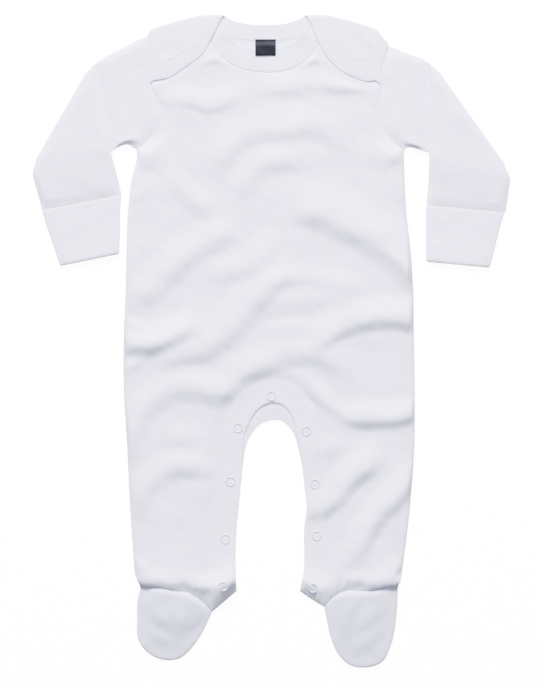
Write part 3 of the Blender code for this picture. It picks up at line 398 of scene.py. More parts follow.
def between_armholes(line):
    """The line run straight on at both ends and then cut off where it meets the armholes."""
    line = np.vstack([line[0] + [-22.0, -2.0], line, line[-1] + [22.0, -2.0]])
    inside_r = line[:, 0] - np.interp(line[:, 1], flap_side_r[:, 1], flap_side_r[:, 0])
    inside_l = np.interp(line[:, 1], flap_side_l[:, 1], flap_side_l[:, 0]) - line[:, 0]
    first, last = (inside_r > 0).argmax(), len(line) - 1 - (inside_l[::-1] > 0).argmax()
    start = inside_r[first] / (inside_r[first] - inside_r[first - 1])
    end = inside_l[last] / (inside_l[last] - inside_l[last + 1])
    return np.vstack([line[first] + start * (line[first - 1] - line[first]), line[first:last + 1],
                      line[last] + end * (line[last + 1] - line[last])])


band_seam = between_armholes(shifted(neck_edge, -NECKBAND_WIDTH))


def cut_at(line, point):
    """Distance along a line of its nearest place to a point."""
    return near(line, np.array([point], dtype=float))[1][0]


def evenly(line, count):
    """Points at even steps along a line."""
    return walked(line, np.linspace(0.0, 1.0, count) * lengths(line)[-1])


def stations(line, stops, counts):
    """Points along a line: each stretch between two stops (distances along it) is divided evenly."""
    at = [np.linspace(a, b, n, endpoint=False) for a, b, n in zip(stops, stops[1:], counts)]
    return walked(line, np.concatenate([*at, [stops[-1]]]))


BACK_COLUMNS = 58
BACK_ROWS = (14, 62, 36)        # shoulder to neck centre, neck to crotch, crotch to ankle
BACK_LEVELS = ((100.0, 235.0), (129.0, -60.0))      # where, on the side, the rows to neck and crotch end
FLAP_ROWS = 15
crotch_back = curve(BACK_CROTCH)
crotch_top = crotch_back[crotch_back[:, 1].argmax()]


def half_back(side, armhole, arch, inner, ankle, seam, sign):
    """Half of the back's grid on the flat pattern: the flap, the rows round the shoulder's roll, and the
    back below it. The seam line runs from the armhole side of the flap to the middle of the neck."""
    flap_side = (flap_side_r if sign < 0 else flap_side_l)[::-1]
    height = seam[:, 1] - fold_start(seam[:, 0])
    over, under = (height < SHOULDER_ROLL).argmax(), (height < 0.0).argmax()
    corner = seam[0]
    flap_side = flap_side[flap_side[:, 1] < corner[1]]
    flap_side = np.vstack([corner, flap_side[flap_side[:, 1] > fold_start(flap_side[:, 0]) + SHOULDER_ROLL]])

    def across(turn, place):
        """Row round the roll from the armhole to the seam line."""
        x = np.linspace(armhole[0, 0], place[0], BACK_COLUMNS)
        return np.column_stack([x, fold_start(x) + turn * SHOULDER_ROLL])

    bend = int(0.7 * over)
    right = evenly(seam[bend:over + 1], FLAP_ROWS)
    last = across(1.0, seam[over])
    last[-1] = right[-1]
    left = evenly(np.vstack([flap_side, last[:1]]), FLAP_ROWS)
    flap = patch(evenly(seam[:bend + 1], BACK_COLUMNS), last, left, right)
    turns = np.linspace(1.0, 0.0, ROLL_ROWS)
    picks = np.round(np.linspace(over, under, ROLL_ROWS)).astype(int)
    roll = np.stack([across(turn, seam[k]) for turn, k in zip(turns, picks)])
    outer = np.vstack([roll[-1, :1], armhole[1:], side[1:], ankle[:1]])
    middle = np.array([crotch_top[0], seam[-1, 1]])
    centre = np.linspace(middle, crotch_top, 80)
    right_line = np.vstack([roll[-1, -1:], seam[under + 1:-1], centre, arch[1:], inner[1:]])
    right = stations(right_line, [0.0, cut_at(right_line, middle), cut_at(right_line, crotch_top),
                                  lengths(right_line)[-1]], BACK_ROWS)
    left = stations(outer, [0.0, *[cut_at(outer, (sign * x, y)) for x, y in BACK_LEVELS],
                            lengths(outer)[-1]], BACK_ROWS)
    back = patch(roll[-1], evenly(ankle, BACK_COLUMNS), left, right)
    return np.concatenate([flap, roll[1:], back[1:]])


crotch_middle = crotch_back[:, 1].argmax()
seam_middle = np.abs(band_seam[:, 0] - crotch_top[0]).argmin()
half_r = half_back(side_r, armhole_r, crotch_back[crotch_middle::-1], inner_r, np.array(RIGHT_ANKLE),
                   band_seam[:seam_middle + 1], -1.0)
half_l = half_back(side_l, armhole_l, crotch_back[crotch_middle:], inner_l, np.array(LEFT_ANKLE),
                   band_seam[:seam_middle - 1:-1], 1.0)
neck_row = FLAP_ROWS + ROLL_ROWS - 2 + BACK_ROWS[0] + 2
pattern, back_faces = halves_joined(hemmed(half_r), hemmed(half_l), neck_row, neck_row + BACK_ROWS[1])
laid, raised = laid_back(pattern)


def flap_rise(pattern, laid):
    """How far a flap stands up off the front past its roll: its creases and small ripples."""
    over = pattern[:, 1] - fold_start(pattern[:, 0]) - SHOULDER_ROLL
    flat = laid[:, :2]
    rise = (0.25 + 0.16 * ripple(flat, 22.0, 5) + 0.06 * ripple(flat, 9.0, 6)
            + sum(fold_height(flat, *crease) for crease in FLAP_CREASES))
    sides = near_any([flap_side_r, flap_side_l], pattern)
    return (rise * smooth_step(over / 7.0) * smooth_step(sides / 5.0)
            * smooth_step(near_any([neck_edge], pattern) / 4.0))[:, None]


back_edges = [side_r, side_l, armhole_r, armhole_l, flap_side_r, flap_side_l, crotch_back, inner_r, inner_l,
              np.array(RIGHT_ANKLE), np.array(LEFT_ANKLE)]
fall = edge_fall(near_any(back_edges, pattern)) + edge_fall(near_any([band_seam], pattern), SEAM_DROP)
fall = np.minimum(fall, EDGE_DROP * WALL)[:, None]
laid = laid - flap_rise(pattern, laid) * raised
front_arch = curve(FRONT_CROTCH)
strip_rise = ((1 - smooth_step(near_any([front_arch], pattern) / STRIP_WIDTH))
              * smooth_step((pattern[:, 1] - STRIP_END[0]) / STRIP_END[1])
              * (STRIP_RISE + 0.22 * ripple(pattern, 7.0, 61)))
laid[:, 2] += np.where(pattern[:, 1] < 0.0, strip_rise, 0.0)
under_fall = edge_fall(near_any([crotch_back, inner_r, inner_l], pattern), UNDER_DROP)[:, None]
points, faces = walled(laid + fall * raised, laid + (WALL - under_fall) * raised, back_faces)
back_shape = BVHTree.FromPolygons(points.tolist(), faces.tolist())
back = piece("back_cloth", points, faces, np.vstack([pattern, pattern]), body_knit, "back_panel")

# ------------------------------------------------------------------ front
# The front is one piece of the same knit, from the neck seam to the ankles, with an arched crotch edge and a
# snap edge down the inner legs. It lies on the back in soft folds that the cloth keeps from its packing.
FRONT_NECK_SEAM = ((-60.5, 286.2), (-57.0, 273.0), (-49.8, 261.6), (-43.6, 254.3), (-34.7, 246.9),
                   (-25.8, 242.3), (-12.5, 239.4), (0.9, 238.6), (14.2, 240.1), (23.1, 243.2), (32.0, 248.7),
                   (39.2, 255.4), (45.4, 264.0), (50.6, 275.0), (53.6, 286.2))
RIGHT_HEM = ((-119.4, -208.0), (-114.9, -215.4), (-98.0, -218.4), (-81.0, -221.6), (-73.6, -222.9))
RIGHT_DOME = ((-73.6, -222.9), (-65.5, -227.0), (-57.0, -234.1), (-50.6, -241.4))
RIGHT_HEEL = ((-50.6, -241.4), (-40.0, -232.3), (-28.5, -222.5))
LEFT_HEM = ((118.0, -208.0), (117.0, -214.4), (102.0, -218.8), (90.0, -221.4), (79.0, -222.4))
LEFT_DOME = ((79.0, -222.4), (70.0, -221.8), (59.0, -226.6), (49.0, -236.6))
LEFT_HEEL = ((49.0, -236.6), (38.3, -230.3), (27.2, -222.5))

CROWN = 1.6                     # how far the front stands off the back
CROWN_WIDTH = 14.0
SIDE_ROLL = 1.1                 # the side edges are soft rolls of this height and width
SIDE_ROLL_WIDTH = 4.0
NECK_REST = 60.0                # it rises more slowly below the neck seam
FOLD_REST = 4.5                 # and its folds keep their height up to this far from a seam
FLAP_SEAT = 0.25                # it fills the room under the flaps
FLAP_LIP = 0.8                  # it stands up along their edges, pushed up by their thickness
FLAP_END_RISE = 0.15            # and comes up to meet them where they end at the armholes
ARCH_LIFT = 0.1                 # the crotch edge stands off the back
SIDE_SINK = 0.45                # at the side seams the front comes down onto the back
PLACKET_WIDTH = 19.0            # flat snap edge along the crotch and inner legs
PLACKET_STEP = 0.35             # which stands up, being doubled
PLACKET_EDGE = 2.2              # over this width
FLAP_CLEAR = 2.0                # it lies still up to this far from the flaps' edges
FLAP_REST = 10.0                # beyond which its folds grow over this much
CROWN_REST = 34.0               # and its crown over this
ARMHOLE_DROP = 0.4              # its edges at the armholes are pressed flatter than the others
ANKLE_BULGE = 5.2               # the hem's soft roll over the foot, and its width
ANKLE_BULGE_WIDTH = 15.0
ANKLE_HEM = (2.1, 8.3, 5.4)     # it starts this far below the hem, grows over this and holds up to here
ANKLE_SHARE = (1.15, 0.75)      # how strongly the right and left inner ankles stand up
ANKLE_DROP = 7.6                # above their fall to the gathered seam
ANKLE_DROP_WIDTH = (12.0, 5.0)  # which is this wide at the leg's end, and by this much wider away from it
ANKLE_REACH = (34.0, 38.0, 60.0)     # how far the fall reaches from the heel, up the leg, and at most
GATHER_RISE = 1.3               # pleats at the gathered seam: height, pitch and length
GATHER_PITCH = 6.5
GATHER_LENGTH = 20.0

# The front's folds, given as the flaps' creases are.
FOLDS = (
    (((-112, 215), (-92, 210), (-71, 209), (-53, 204), (-42, 207), (-26, 214), (-6, 217)), 2.2, 4.5, 18.0),
    (((-24, 216), (12, 219), (40, 222), (70, 222), (93, 226), (112, 232)), 1.7, 6.0, 18.0),
    (((28, 228), (47, 225), (70, 221), (93, 226), (108, 234)), 1.3, 4.0, 9.0),
    (((-46, 138), (-38, 152), (-30, 166), (-21, 175), (-7, 180), (15, 181), (31, 184), (47, 180), (61, 173),
      (74, 162)), 2.7, 6.5, 22.0),
    (((-24, 112), (-19, 126), (-12, 141), (2, 151), (22, 152), (40, 144)), 2.6, 7.0, 18.0),
    (((-104, 158), (-85, 135), (-67, 116), (-48, 108), (-34, 108)), 2.4, 7.0, 18.0),
    (((-126, 16), (-110, 30), (-85, 53), (-67, 71), (-48, 82), (-30, 94), (-18, 108)), 3.4, 8.0, 24.0),
    (((-72, 58), (-58, 57), (-39, 54), (-21, 57), (-3, 70), (11, 85), (20, 98)), 2.6, 7.0, 18.0),
    (((8, 113), (22, 109), (34, 105), (52, 100), (70, 92), (88, 80), (106, 67), (127, 47), (158, 19)),
     5.6, 9.5, 34.0),
    (((84, 90), (106, 74), (127, 54), (152, 32)), 1.4, 4.0, 10.0),
    (((-112, -33), (-98, -28), (-84, -23), (-58, -16), (-39, -4), (-21, 13), (-3, 34), (15, 53), (34, 66)),
     4.0, 8.0, 28.0),
    (((-12, 40), (10, 47), (30, 50), (54, 48), (76, 46), (92, 50)), 1.8, 6.0, 14.0),
    (((-14, 16), (-3, 20), (24, 27), (52, 29), (75, 35), (96, 42)), 1.7, 7.0, 20.0),
    (((-16, -6), (-3, -1), (20, 5), (47, 2), (60, -4)), 1.6, 5.5, 12.0),
    (((30, -11), (50, -3), (70, 6), (97, 13), (127, 11), (160, 5)), 5.2, 6.5, 26.0),
    (((-155, -13), (-126, -11), (-105, -9), (-85, -2), (-64, 9), (-46, 20)), 4.8, 7.0, 20.0),
    (((-155, -44), (-128, -29), (-112, -20), (-96, -11)), 1.6, 4.0, 9.0),
    (((-120, -14), (-104, -9), (-90, -3), (-76, 4), (-60, 16)), 2.0, 5.0, 12.0),
    (((-150, 18), (-124, 12), (-108, 7), (-94, 6)), 1.6, 3.5, 8.0),
    (((-124, -122), (-112, -79), (-99, -61), (-85, -52), (-67, -50), (-46, -53), (-28, -46), (-12, -36)),
     3.7, 8.0, 22.0),
    (((-46, -44), (-28, -38), (-12, -32), (2, -26), (20, -20), (38, -19), (56, -26), (78, -37)), 3.7, 8.0, 22.0),
    (((16, -34), (34, -47), (52, -61), (70, -72), (84, -78)), 2.2, 4.5, 14.0),
    (((56, -69), (72, -74), (88, -76), (108, -75), (129, -71), (160, -65)), 4.5, 6.0, 22.0),
    (((-99, -95), (-74, -93), (-53, -88)), 1.6, 6.0, 16.0),
    (((-126, -164), (-114, -152), (-103, -132), (-85, -121), (-53, -118), (-36, -116)), 2.8, 7.0, 20.0),
    (((-30, -160), (0, -158), (36, -157), (52, -154), (63, -145), (75, -130), (93, -115), (112, -98)),
     4.8, 6.0, 22.0),
    (((80, -206), (88, -184), (97, -166), (111, -150), (127, -134), (152, -110)), 4.8, 6.5, 20.0),
    (((30, -114), (45, -105), (77, -95)), 1.5, 6.0, 16.0),
    (((-84, 232), (-66, 243), (-52, 247), (-34, 242)), 2.2, 3.5, 9.0),
    (((22, 240), (36, 247), (52, 246), (66, 238)), 2.0, 3.5, 8.0),
    (((-142, 168), (-124, 164), (-112, 158), (-100, 146)), 2.6, 4.5, 22.0),
    (((-140, 96), (-122, 118), (-106, 134), (-96, 152)), 1.4, 4.5, 10.0),
    (((96, 144), (108, 156), (120, 162), (140, 165)), 2.4, 4.5, 22.0),
    (((102, 150), (112, 132), (128, 112)), 1.2, 4.5, 10.0),
    (((-127, 99), (-123, 28)), 1.0, 4.6, 10.0),
    (((-84, -223), (-66, -222), (-48, -221), (-30, -216), (-4, -208)), 3.6, 3.4, 14.0),
    (((4, -206), (20, -211), (34, -218), (50, -225), (64, -225)), 2.6, 3.4, 14.0),
)

neck_seam = curve(FRONT_NECK_SEAM)
hem_r, dome_r, heel_r = curve(RIGHT_HEM), curve(RIGHT_DOME), curve(RIGHT_HEEL)
hem_l, dome_l, heel_l = curve(LEFT_HEM), curve(LEFT_DOME), curve(LEFT_HEEL)


def puckers(line, points, pitch, width, seed):
    """Small tucks square to a seam: waves along it of about the given pitch, uneven, dying out at "width"."""
    off, along = near(line, points)
    wave = np.sin(2 * math.pi * along / pitch + 1.7 * np.sin(along / (1.9 * pitch) + seed)
                  + 0.9 * np.sin(along / (0.8 * pitch) + 2.1 * seed))
    return wave * smooth_step(1 - np.abs(off) / width)


def ankle_relief(points):
    """Shares of three forms at the ankles: the hem's bulge over the foot, the pleats at the gathered seam, and
    the raised cloth that falls to that seam."""
    bulge, pleats, drop = np.zeros(len(points)), np.zeros(len(points)), np.zeros(len(points))
    for hem, dome, heel, side, strength in ((hem_r, dome_r, heel_r, side_r, ANKLE_SHARE[0]),
                                            (hem_l, dome_l, heel_l, side_l, ANKLE_SHARE[1])):
        up = np.abs(near(hem, points)[0])
        near_hem = (smooth_step((up + ANKLE_HEM[0]) / ANKLE_HEM[1])
                    * (1 - smooth_step((up - ANKLE_HEM[2]) / ANKLE_BULGE_WIDTH)))
        from_dome = smooth_step((np.abs(near(dome, points)[0]) - 1.0) / 15.0)
        from_side = smooth_step(np.abs(near(side, points)[0]) / 8.0)
        bulge = np.maximum(bulge, near_hem * from_dome * from_side)
        from_seam = near_any([heel, dome], points)
        corner = np.hypot(*(points - heel[-1]).T)
        width = ANKLE_DROP_WIDTH[0] + ANKLE_DROP_WIDTH[1] * smooth_step((corner - 4.0) / 24.0)
        inward = 0.15 + 0.85 * smooth_step(1 - near_any([heel], points) / ANKLE_REACH[0])
        low = near_any([heel, dome, hem], points) < ANKLE_REACH[2]
        drop = np.maximum(drop, strength * low * inward * smooth_step(from_seam / width)
                          * (1 - smooth_step((from_seam - width) / ANKLE_REACH[1])) * (1 - near_hem * from_dome))
        wave = np.abs(np.sin(math.pi * (points[:, 0] + 1.6 * np.sin(points[:, 1] / 6.0 + points[:, 0] / 9.0))
                             / GATHER_PITCH))
        gathered = smooth_step(1 - near_any([heel, dome[len(dome) // 3:]], points) / GATHER_LENGTH)
        pleats = np.maximum(pleats, gathered * wave * smooth_step(from_seam / 3.0))
    return bulge, pleats, drop


def front_relief(points):
    """How far the front stands above the layer that it lies on: the crown and folds where it lies free, the
    doubled snap edge, the hems' bulge over the feet, the pleats at the inner ankles, seam puckers and small
    ripples."""
    outer = near_any([side_r, armhole_r, armhole_l, side_l, dome_r, heel_r, dome_l, heel_l], points)
    sides = near_any([side_r, side_l], points)
    neck = near_any([neck_seam], points)
    inner = near_any([snap_edge], points)
    arch = near_any([front_arch], points)
    away = near_any([flap_r, flap_l], points)
    away = np.where(points[:, 1] > np.interp(points[:, 0], flap_x, flap_y), 0.0, away)
    under_flap = smooth_step((away - FLAP_CLEAR) / FLAP_REST)

    calm = (smooth_step(outer / CROWN_WIDTH) * smooth_step(neck / NECK_REST)
            * smooth_step((inner - PLACKET_WIDTH) / CROWN_WIDTH) * smooth_step((away - FLAP_CLEAR) / CROWN_REST))
    bent = points + 0.6 * np.column_stack([ripple(points, 60.0, 21), ripple(points, 60.0, 22)])
    folds = sum(fold_height(bent, *fold) for fold in FOLDS) * (1 + 0.12 * ripple(points, 60.0, 23))
    free = (smooth_step(outer / FOLD_REST) * smooth_step(neck / FOLD_REST) * under_flap
            * (0.6 + 0.4 * smooth_step((inner - 0.6 * PLACKET_WIDTH) / 8.0)) * smooth_step((inner + 3.0) / 8.0))
    rise = calm * (CROWN + 0.3 * ripple(points, 34.0, 3)) + free * (folds + 0.08 * ripple(points, 12.0, 8))
    rise = rise + PLACKET_STEP * (1 - smooth_step((inner - PLACKET_WIDTH) / PLACKET_EDGE))

    rolled = (np.sqrt(1 - (1 - np.clip(sides / SIDE_ROLL_WIDTH, 0.0, 1.0))**2)
              * (1 - smooth_step((sides - SIDE_ROLL_WIDTH) / 26.0)))
    rise = rise + SIDE_ROLL * rolled * smooth_step(near_any([armhole_r, armhole_l], points) / 12.0)
    rise = rise + FLAP_SEAT * (1 - smooth_step(away / 1.5))
    rise = rise + FLAP_LIP * smooth_step(away / 0.9) * (1 - smooth_step((away - 1.0) / 24.0))
    ends = near_any([flap_r[:14], flap_l[:14]], points)
    rise = rise + FLAP_END_RISE * smooth_step(away / 1.0) * (1 - smooth_step(ends / 12.0))
    rise = rise + ARCH_LIFT * (1 - smooth_step(arch / 20.0)) * smooth_step((points[:, 1] + 100.0) / 30.0)
    for seam, pitch, width, depth, seed in ((armhole_r, 8.0, 9.0, 0.22, 1.0), (armhole_l, 8.5, 9.0, 0.22, 4.0),
                                            (neck_seam, 7.0, 7.0, 0.10, 2.0), (side_r, 11.0, 6.0, 0.12, 5.0),
                                            (side_l, 10.0, 6.0, 0.12, 7.0)):
        rise = rise + depth * under_flap * smooth_step(outer / 2.0) * puckers(seam, points, pitch, width, seed)

    bulge, pleats, drop = ankle_relief(points)
    drop = drop * (0.6 + 0.4 * smooth_step(inner / 7.0)) * smooth_step(sides / 8.0)
    return (rise * (1 - bulge) * (1 - 0.6 * drop) + ANKLE_BULGE * bulge + ANKLE_DROP * drop
            + GATHER_RISE * pleats - SIDE_SINK * (1 - smooth_step(sides / 3.0)))


FRONT_COLUMNS = 60
FRONT_ROWS = (40, 132, 84)      # along the neck seam, from there to the crotch, and on to the ankle
FRONT_LEVELS = ((99.0, 212.0), (129.0, -48.0))      # where, on the side, the rows to neck and crotch end
arch_middle = front_arch[:, 1].argmax()
arch_top = front_arch[arch_middle]
neck_low = neck_seam[np.abs(neck_seam[:, 0] - arch_top[0]).argmin()]


def half_front(side, armhole, arch, inner, seam, ends, sign):
    """Half of the front's grid, from the armhole and side to the neck seam, middle, crotch and inner leg."""
    armhole = armhole[armhole[:, 1] < fold_start(armhole[:, 0]) - 1.5]
    x = np.linspace(armhole[0, 0], seam[0, 0], FRONT_COLUMNS)
    first = np.column_stack([x, fold_start(x) - 2 * GAP])
    first[0], first[-1] = armhole[0], seam[0]
    outer = np.vstack([armhole, side[1:]])
    middle = np.linspace(seam[-1], arch_top, 200)
    right_line = np.vstack([seam[:-1], middle, arch[1:], inner[1:]])
    right = stations(right_line, [0.0, cut_at(right_line, seam[-1]), cut_at(right_line, arch_top),
                                  lengths(right_line)[-1]], FRONT_ROWS)
    left = stations(outer, [0.0, *[cut_at(outer, (sign * x, y)) for x, y in FRONT_LEVELS],
                            lengths(outer)[-1]], FRONT_ROWS)
    return patch(first, evenly(np.vstack(ends), FRONT_COLUMNS), left, right)


snap_edge = np.vstack([inner_r[::-1], front_arch[1:], inner_l[1:]])
flap_x = np.concatenate([flap_r[:, 0], [-43.0, 36.0], flap_l[::-1, 0]])
flap_y = np.concatenate([flap_r[:, 1], [420.0, 420.0], flap_l[::-1, 1]])
half_r = half_front(side_r, armhole_r, front_arch[arch_middle::-1], inner_r,
                    neck_seam[neck_seam[:, 0] <= neck_low[0]], [hem_r, dome_r[1:], heel_r[1:]], -1.0)
half_l = half_front(side_l, armhole_l, front_arch[arch_middle:], inner_l,
                    neck_seam[neck_seam[:, 0] >= neck_low[0]][::-1], [hem_l, dome_l[1:], heel_l[1:]], 1.0)
neck_row = FRONT_ROWS[0] + 2
pattern, front_faces = halves_joined(hemmed(half_r), hemmed(half_l), neck_row, neck_row + FRONT_ROWS[1])
under = np.column_stack([pattern, LAYER + front_relief(pattern)])
front_edges = [side_r, side_l, neck_seam, snap_edge, hem_r, dome_r, heel_r, hem_l, dome_l, heel_l]
fall = np.maximum(edge_fall(near_any(front_edges, pattern)),
                  edge_fall(near_any([armhole_r, armhole_l], pattern), ARMHOLE_DROP))
points, faces = walled(under, under + np.column_stack([0 * fall, 0 * fall, WALL - fall]), front_faces)
front_shape = BVHTree.FromPolygons(points.tolist(), faces.tolist())
front = piece("front_cloth", points, faces, np.vstack([pattern, pattern]), body_knit, "front_panel")

# ------------------------------------------------------------------ neckbands
# Doubled 1 x 1 rib, folded along its free edge and sewn to the neckline. The back one runs on over both
# shoulders along the flaps' free edges; the front one's ends are tucked under the flaps.
FRONT_NECK_EDGE = ((-40.6, 286.2), (-38.9, 276.0), (-34.7, 269.0), (-26.8, 263.0), (-15.0, 260.3),
                   (-2.0, 259.8), (10.0, 261.4), (20.0, 265.0), (28.4, 270.6), (31.8, 278.0), (33.2, 286.2))
BAND_COLUMNS = 12
BAND_DROP = 0.55                # its doubled free edge is a blunter round
BAND_END_RISE = 0.9             # the front one stands off the back beside the flaps

band_knit = knit("white cotton rib", (0.78, 0.78, 0.87), 0.0012, 0.0007, 0.00025)


def strip(edge, seam, rows):
    """Grid between two lines, hemmed all round: rows from the free edge to the seam; and how far along and
    across the band each point lies."""
    share = np.linspace(0.0, 1.0, BAND_COLUMNS)[None, :, None]
    from_edge = walked(edge, rows * lengths(edge)[-1])[:, None]
    from_seam = walked(seam, rows * lengths(seam)[-1])[:, None]
    grid = (1 - share) * from_edge + share * from_seam
    along = np.broadcast_to((rows * lengths(edge)[-1])[:, None], grid.shape[:2])
    across = np.broadcast_to(share[..., 0] * NECKBAND_WIDTH, grid.shape[:2])
    whole = hemmed(np.concatenate([grid, np.stack([along, across], axis=-1)], axis=-1))
    return whole[..., :2].reshape(-1, 2), whole[..., 2:].reshape(-1, 2), whole.shape[:2]


edge_run = lengths(neck_edge)
off_roll = np.abs(neck_edge[:, 1] - fold_start(neck_edge[:, 0]) - SHOULDER_ROLL / 2)
wanted = np.where(off_roll < 16.0, 0.5, 1.6)
count = np.concatenate([[0.0], np.cumsum(np.diff(edge_run) / wanted[1:])])
rows = np.interp(np.linspace(0.0, count[-1], int(count[-1])), count, edge_run) / edge_run[-1]
flat, pattern, size = strip(neck_edge, between_armholes(shifted(neck_edge, -NECKBAND_WIDTH - SEAM_LAP)), rows)
band_faces = quads(np.arange(size[0] * size[1]).reshape(size))
laid, raised = laid_back(flat)
laid = laid - flap_rise(flat, laid) * raised
fall = (edge_fall(pattern[:, 1], BAND_DROP) + edge_fall(NECKBAND_WIDTH - pattern[:, 1], SEAM_DROP))[:, None]
points, faces = walled(laid + fall * raised, laid + WALL * raised, band_faces)
back_band = piece("back_neckband_rib", points, faces, np.vstack([pattern, pattern]), band_knit,
                  "back_neckband")

neck_edge_f = curve(FRONT_NECK_EDGE)
flat, pattern, size = strip(neck_edge_f, shifted(neck_seam, -SEAM_LAP), np.linspace(0.0, 1.0, 120))
band_faces = quads(np.arange(size[0] * size[1]).reshape(size))
stands_off = (BAND_END_RISE * smooth_step((flat[:, 1] - 261.0) / 12.0)
              * smooth_step(near_any([flap_r, flap_l], flat) / 8.0))
under = np.column_stack([flat, LAYER + stands_off])
fall = edge_fall(NECKBAND_WIDTH - pattern[:, 1])
points, faces = walled(under, under + np.column_stack([0 * fall, 0 * fall, WALL - fall]), band_faces[:, ::-1])
front_band = piece("front_neckband_rib", points, faces, np.vstack([pattern, pattern]), band_knit,
                   "front_neckband")

# ------------------------------------------------------------------ label
# A folded black satin ribbon, sewn down at the inside of the back neck. Its face is left bare.
LABEL_WIDTH = 18.7
LABEL_CENTRE = -3.1
LABEL_TOP = 268.6
LABEL_LENGTH = 15.0
LABEL_WALL = 0.6
LABEL_CLEAR = 0.15              # air under it
SATIN_BLACK = (0.004, 0.0045, 0.006)


def satin():
    """Black woven satin: long floats as fine waves along the ribbon, fainter ones across, a silky sheen."""
    made, tree = material("black satin ribbon", SATIN_BLACK, {"Base Color": (*SATIN_BLACK, 1.0), "Roughness": 0.6,
                                                              "Specular IOR Level": 0.12})
    floats = crossed_waves(tree, (("X", 0.0003, 1.0), ("Y", 0.0005, 0.5)), {"Distortion": 0.8})
    bumped(tree, floats, 0.4, 0.0001)
    return made


x, y = np.meshgrid(np.linspace(-LABEL_WIDTH / 2, LABEL_WIDTH / 2, 30) + LABEL_CENTRE,
                   LABEL_TOP - np.linspace(0.0, LABEL_LENGTH, 26))
grid = hemmed(np.stack([x, y], axis=-1))
flat = grid.reshape(-1, 2)
down = LABEL_TOP - flat[:, 1]
lift = LAYER + LAYER * smooth_step((down - 1.5) / 5.0) + 0.12 * np.sin(flat[:, 0] / 3.1 + flat[:, 1] / 2.3)
off = np.minimum(LABEL_WIDTH / 2 - np.abs(flat[:, 0] - LABEL_CENTRE), np.minimum(down, LABEL_LENGTH - down))
fall = LABEL_WALL * edge_fall(off)
label_faces = quads(np.arange(len(flat)).reshape(grid.shape[:2]))
points, faces = walled(np.column_stack([flat, lift + LABEL_CLEAR]),
                       np.column_stack([flat, lift + LABEL_CLEAR + LABEL_WALL - fall]), label_faces)
label = piece("neck_label", points, faces, np.vstack([flat, flat]), satin(), "label")

# ------------------------------------------------------------------ sleeves
# Long set-in sleeves of the body's knit, each a flattened tube sewn to the armhole. The forearm is folded over
# at the elbow, comes back over the upper arm and then lies down beside the body.
SLEEVE_HEIGHT = 2 * WALL + GAP
ELBOW_RADIUS = SLEEVE_HEIGHT + 0.2
FOREARM_DROP = (2.0, 34.0)      # where the forearm starts down below the upper arm, and over how much
FLAP_JOIN = 1.0                 # the sleeve comes up to the flap's level along their seam
CUFF_JOIN = 0.7                 # and to the cuff's at its end
SLEEVE_CROWN = 1.3
TUBE_SEAM_DROP = 0.3            # a tube's wall turns in by this share of it at a seam
SLEEVE_ROW = 2.2                # spacing of the rows along a sleeve
SLEEVE_COLUMNS = 44
UPPER_ARM_WIDTH = 95.0
FOREARM_WIDTH = 90.0
ELBOW_STEPS = 13

# Rows out from the armhole to the elbow's fold line: the upper edge, the lower edge and how much of the
# armhole's bow the row keeps. Forearm rows run on from that line to the cuff.
RIGHT_ARM = ((-107.8, 271.6, -117.5, 170.0, 1.0), (-117.0, 267.4, -125.0, 174.4, 0.78),
             (-131.0, 260.0, -141.0, 168.8, 0.45), (-145.0, 253.2, -172.0, 161.6, 0.18),
             (-158.4, 246.5, -211.8, 154.0, 0.0))
RIGHT_FOREARM = ((-152.6, 225.8, -210.2, 147.6, 0.0), (-147.0, 203.0, -208.4, 141.0, 0.0),
                 (-143.2, 185.0, -206.6, 134.4, 0.0), (-140.4, 168.2, -205.0, 128.4, 0.0),
                 (-135.4, 149.0, -203.4, 122.4, 0.0), (-131.0, 129.9, -202.2, 116.1, 0.0))
LEFT_ARM = ((106.4, 262.6, 120.2, 170.0, 1.0), (114.0, 259.4, 123.0, 172.0, 0.78),
            (124.0, 255.4, 142.0, 167.4, 0.45), (134.6, 251.8, 176.0, 159.0, 0.18),
            (144.8, 248.6, 215.4, 149.5, 0.0))
LEFT_FOREARM = ((143.8, 226.0, 214.6, 143.6, 0.0), (143.2, 205.0, 213.8, 137.6, 0.0),
                (142.8, 186.0, 213.0, 131.8, 0.0), (142.4, 168.0, 212.2, 126.2, 0.0),
                (141.8, 144.0, 211.4, 120.4, 0.0), (139.9, 120.4, 210.6, 114.2, 0.0))

# Creases in the sleeves' upper side, as the front's folds are given.
RIGHT_CREASES = (
    (((-112, 176), (-124, 192), (-131, 214)), 0.9, 4.0, 12.0),
    (((-121, 178), (-140, 186), (-158, 204)), 0.6, 5.0, 12.0),
    (((-146, 178), (-168, 176), (-192, 160)), 0.5, 6.0, 14.0),
    (((-136, 142), (-158, 150), (-184, 152)), 0.5, 6.0, 14.0),
    (((-166, 156), (-148, 164), (-135, 170), (-120, 172), (-100, 166)), 1.3, 3.0, 12.0),
)
LEFT_CREASES = (
    (((112, 176), (122, 196), (126, 220)), 0.9, 4.0, 12.0),
    (((122, 178), (140, 190), (152, 210)), 0.6, 5.0, 12.0),
    (((150, 214), (166, 196), (186, 184)), 0.6, 6.0, 14.0),
    (((146, 138), (170, 148), (200, 142)), 0.5, 6.0, 14.0),
    (((100, 168), (118, 171), (132, 168), (148, 161), (166, 153)), 1.3, 3.0, 12.0),
)


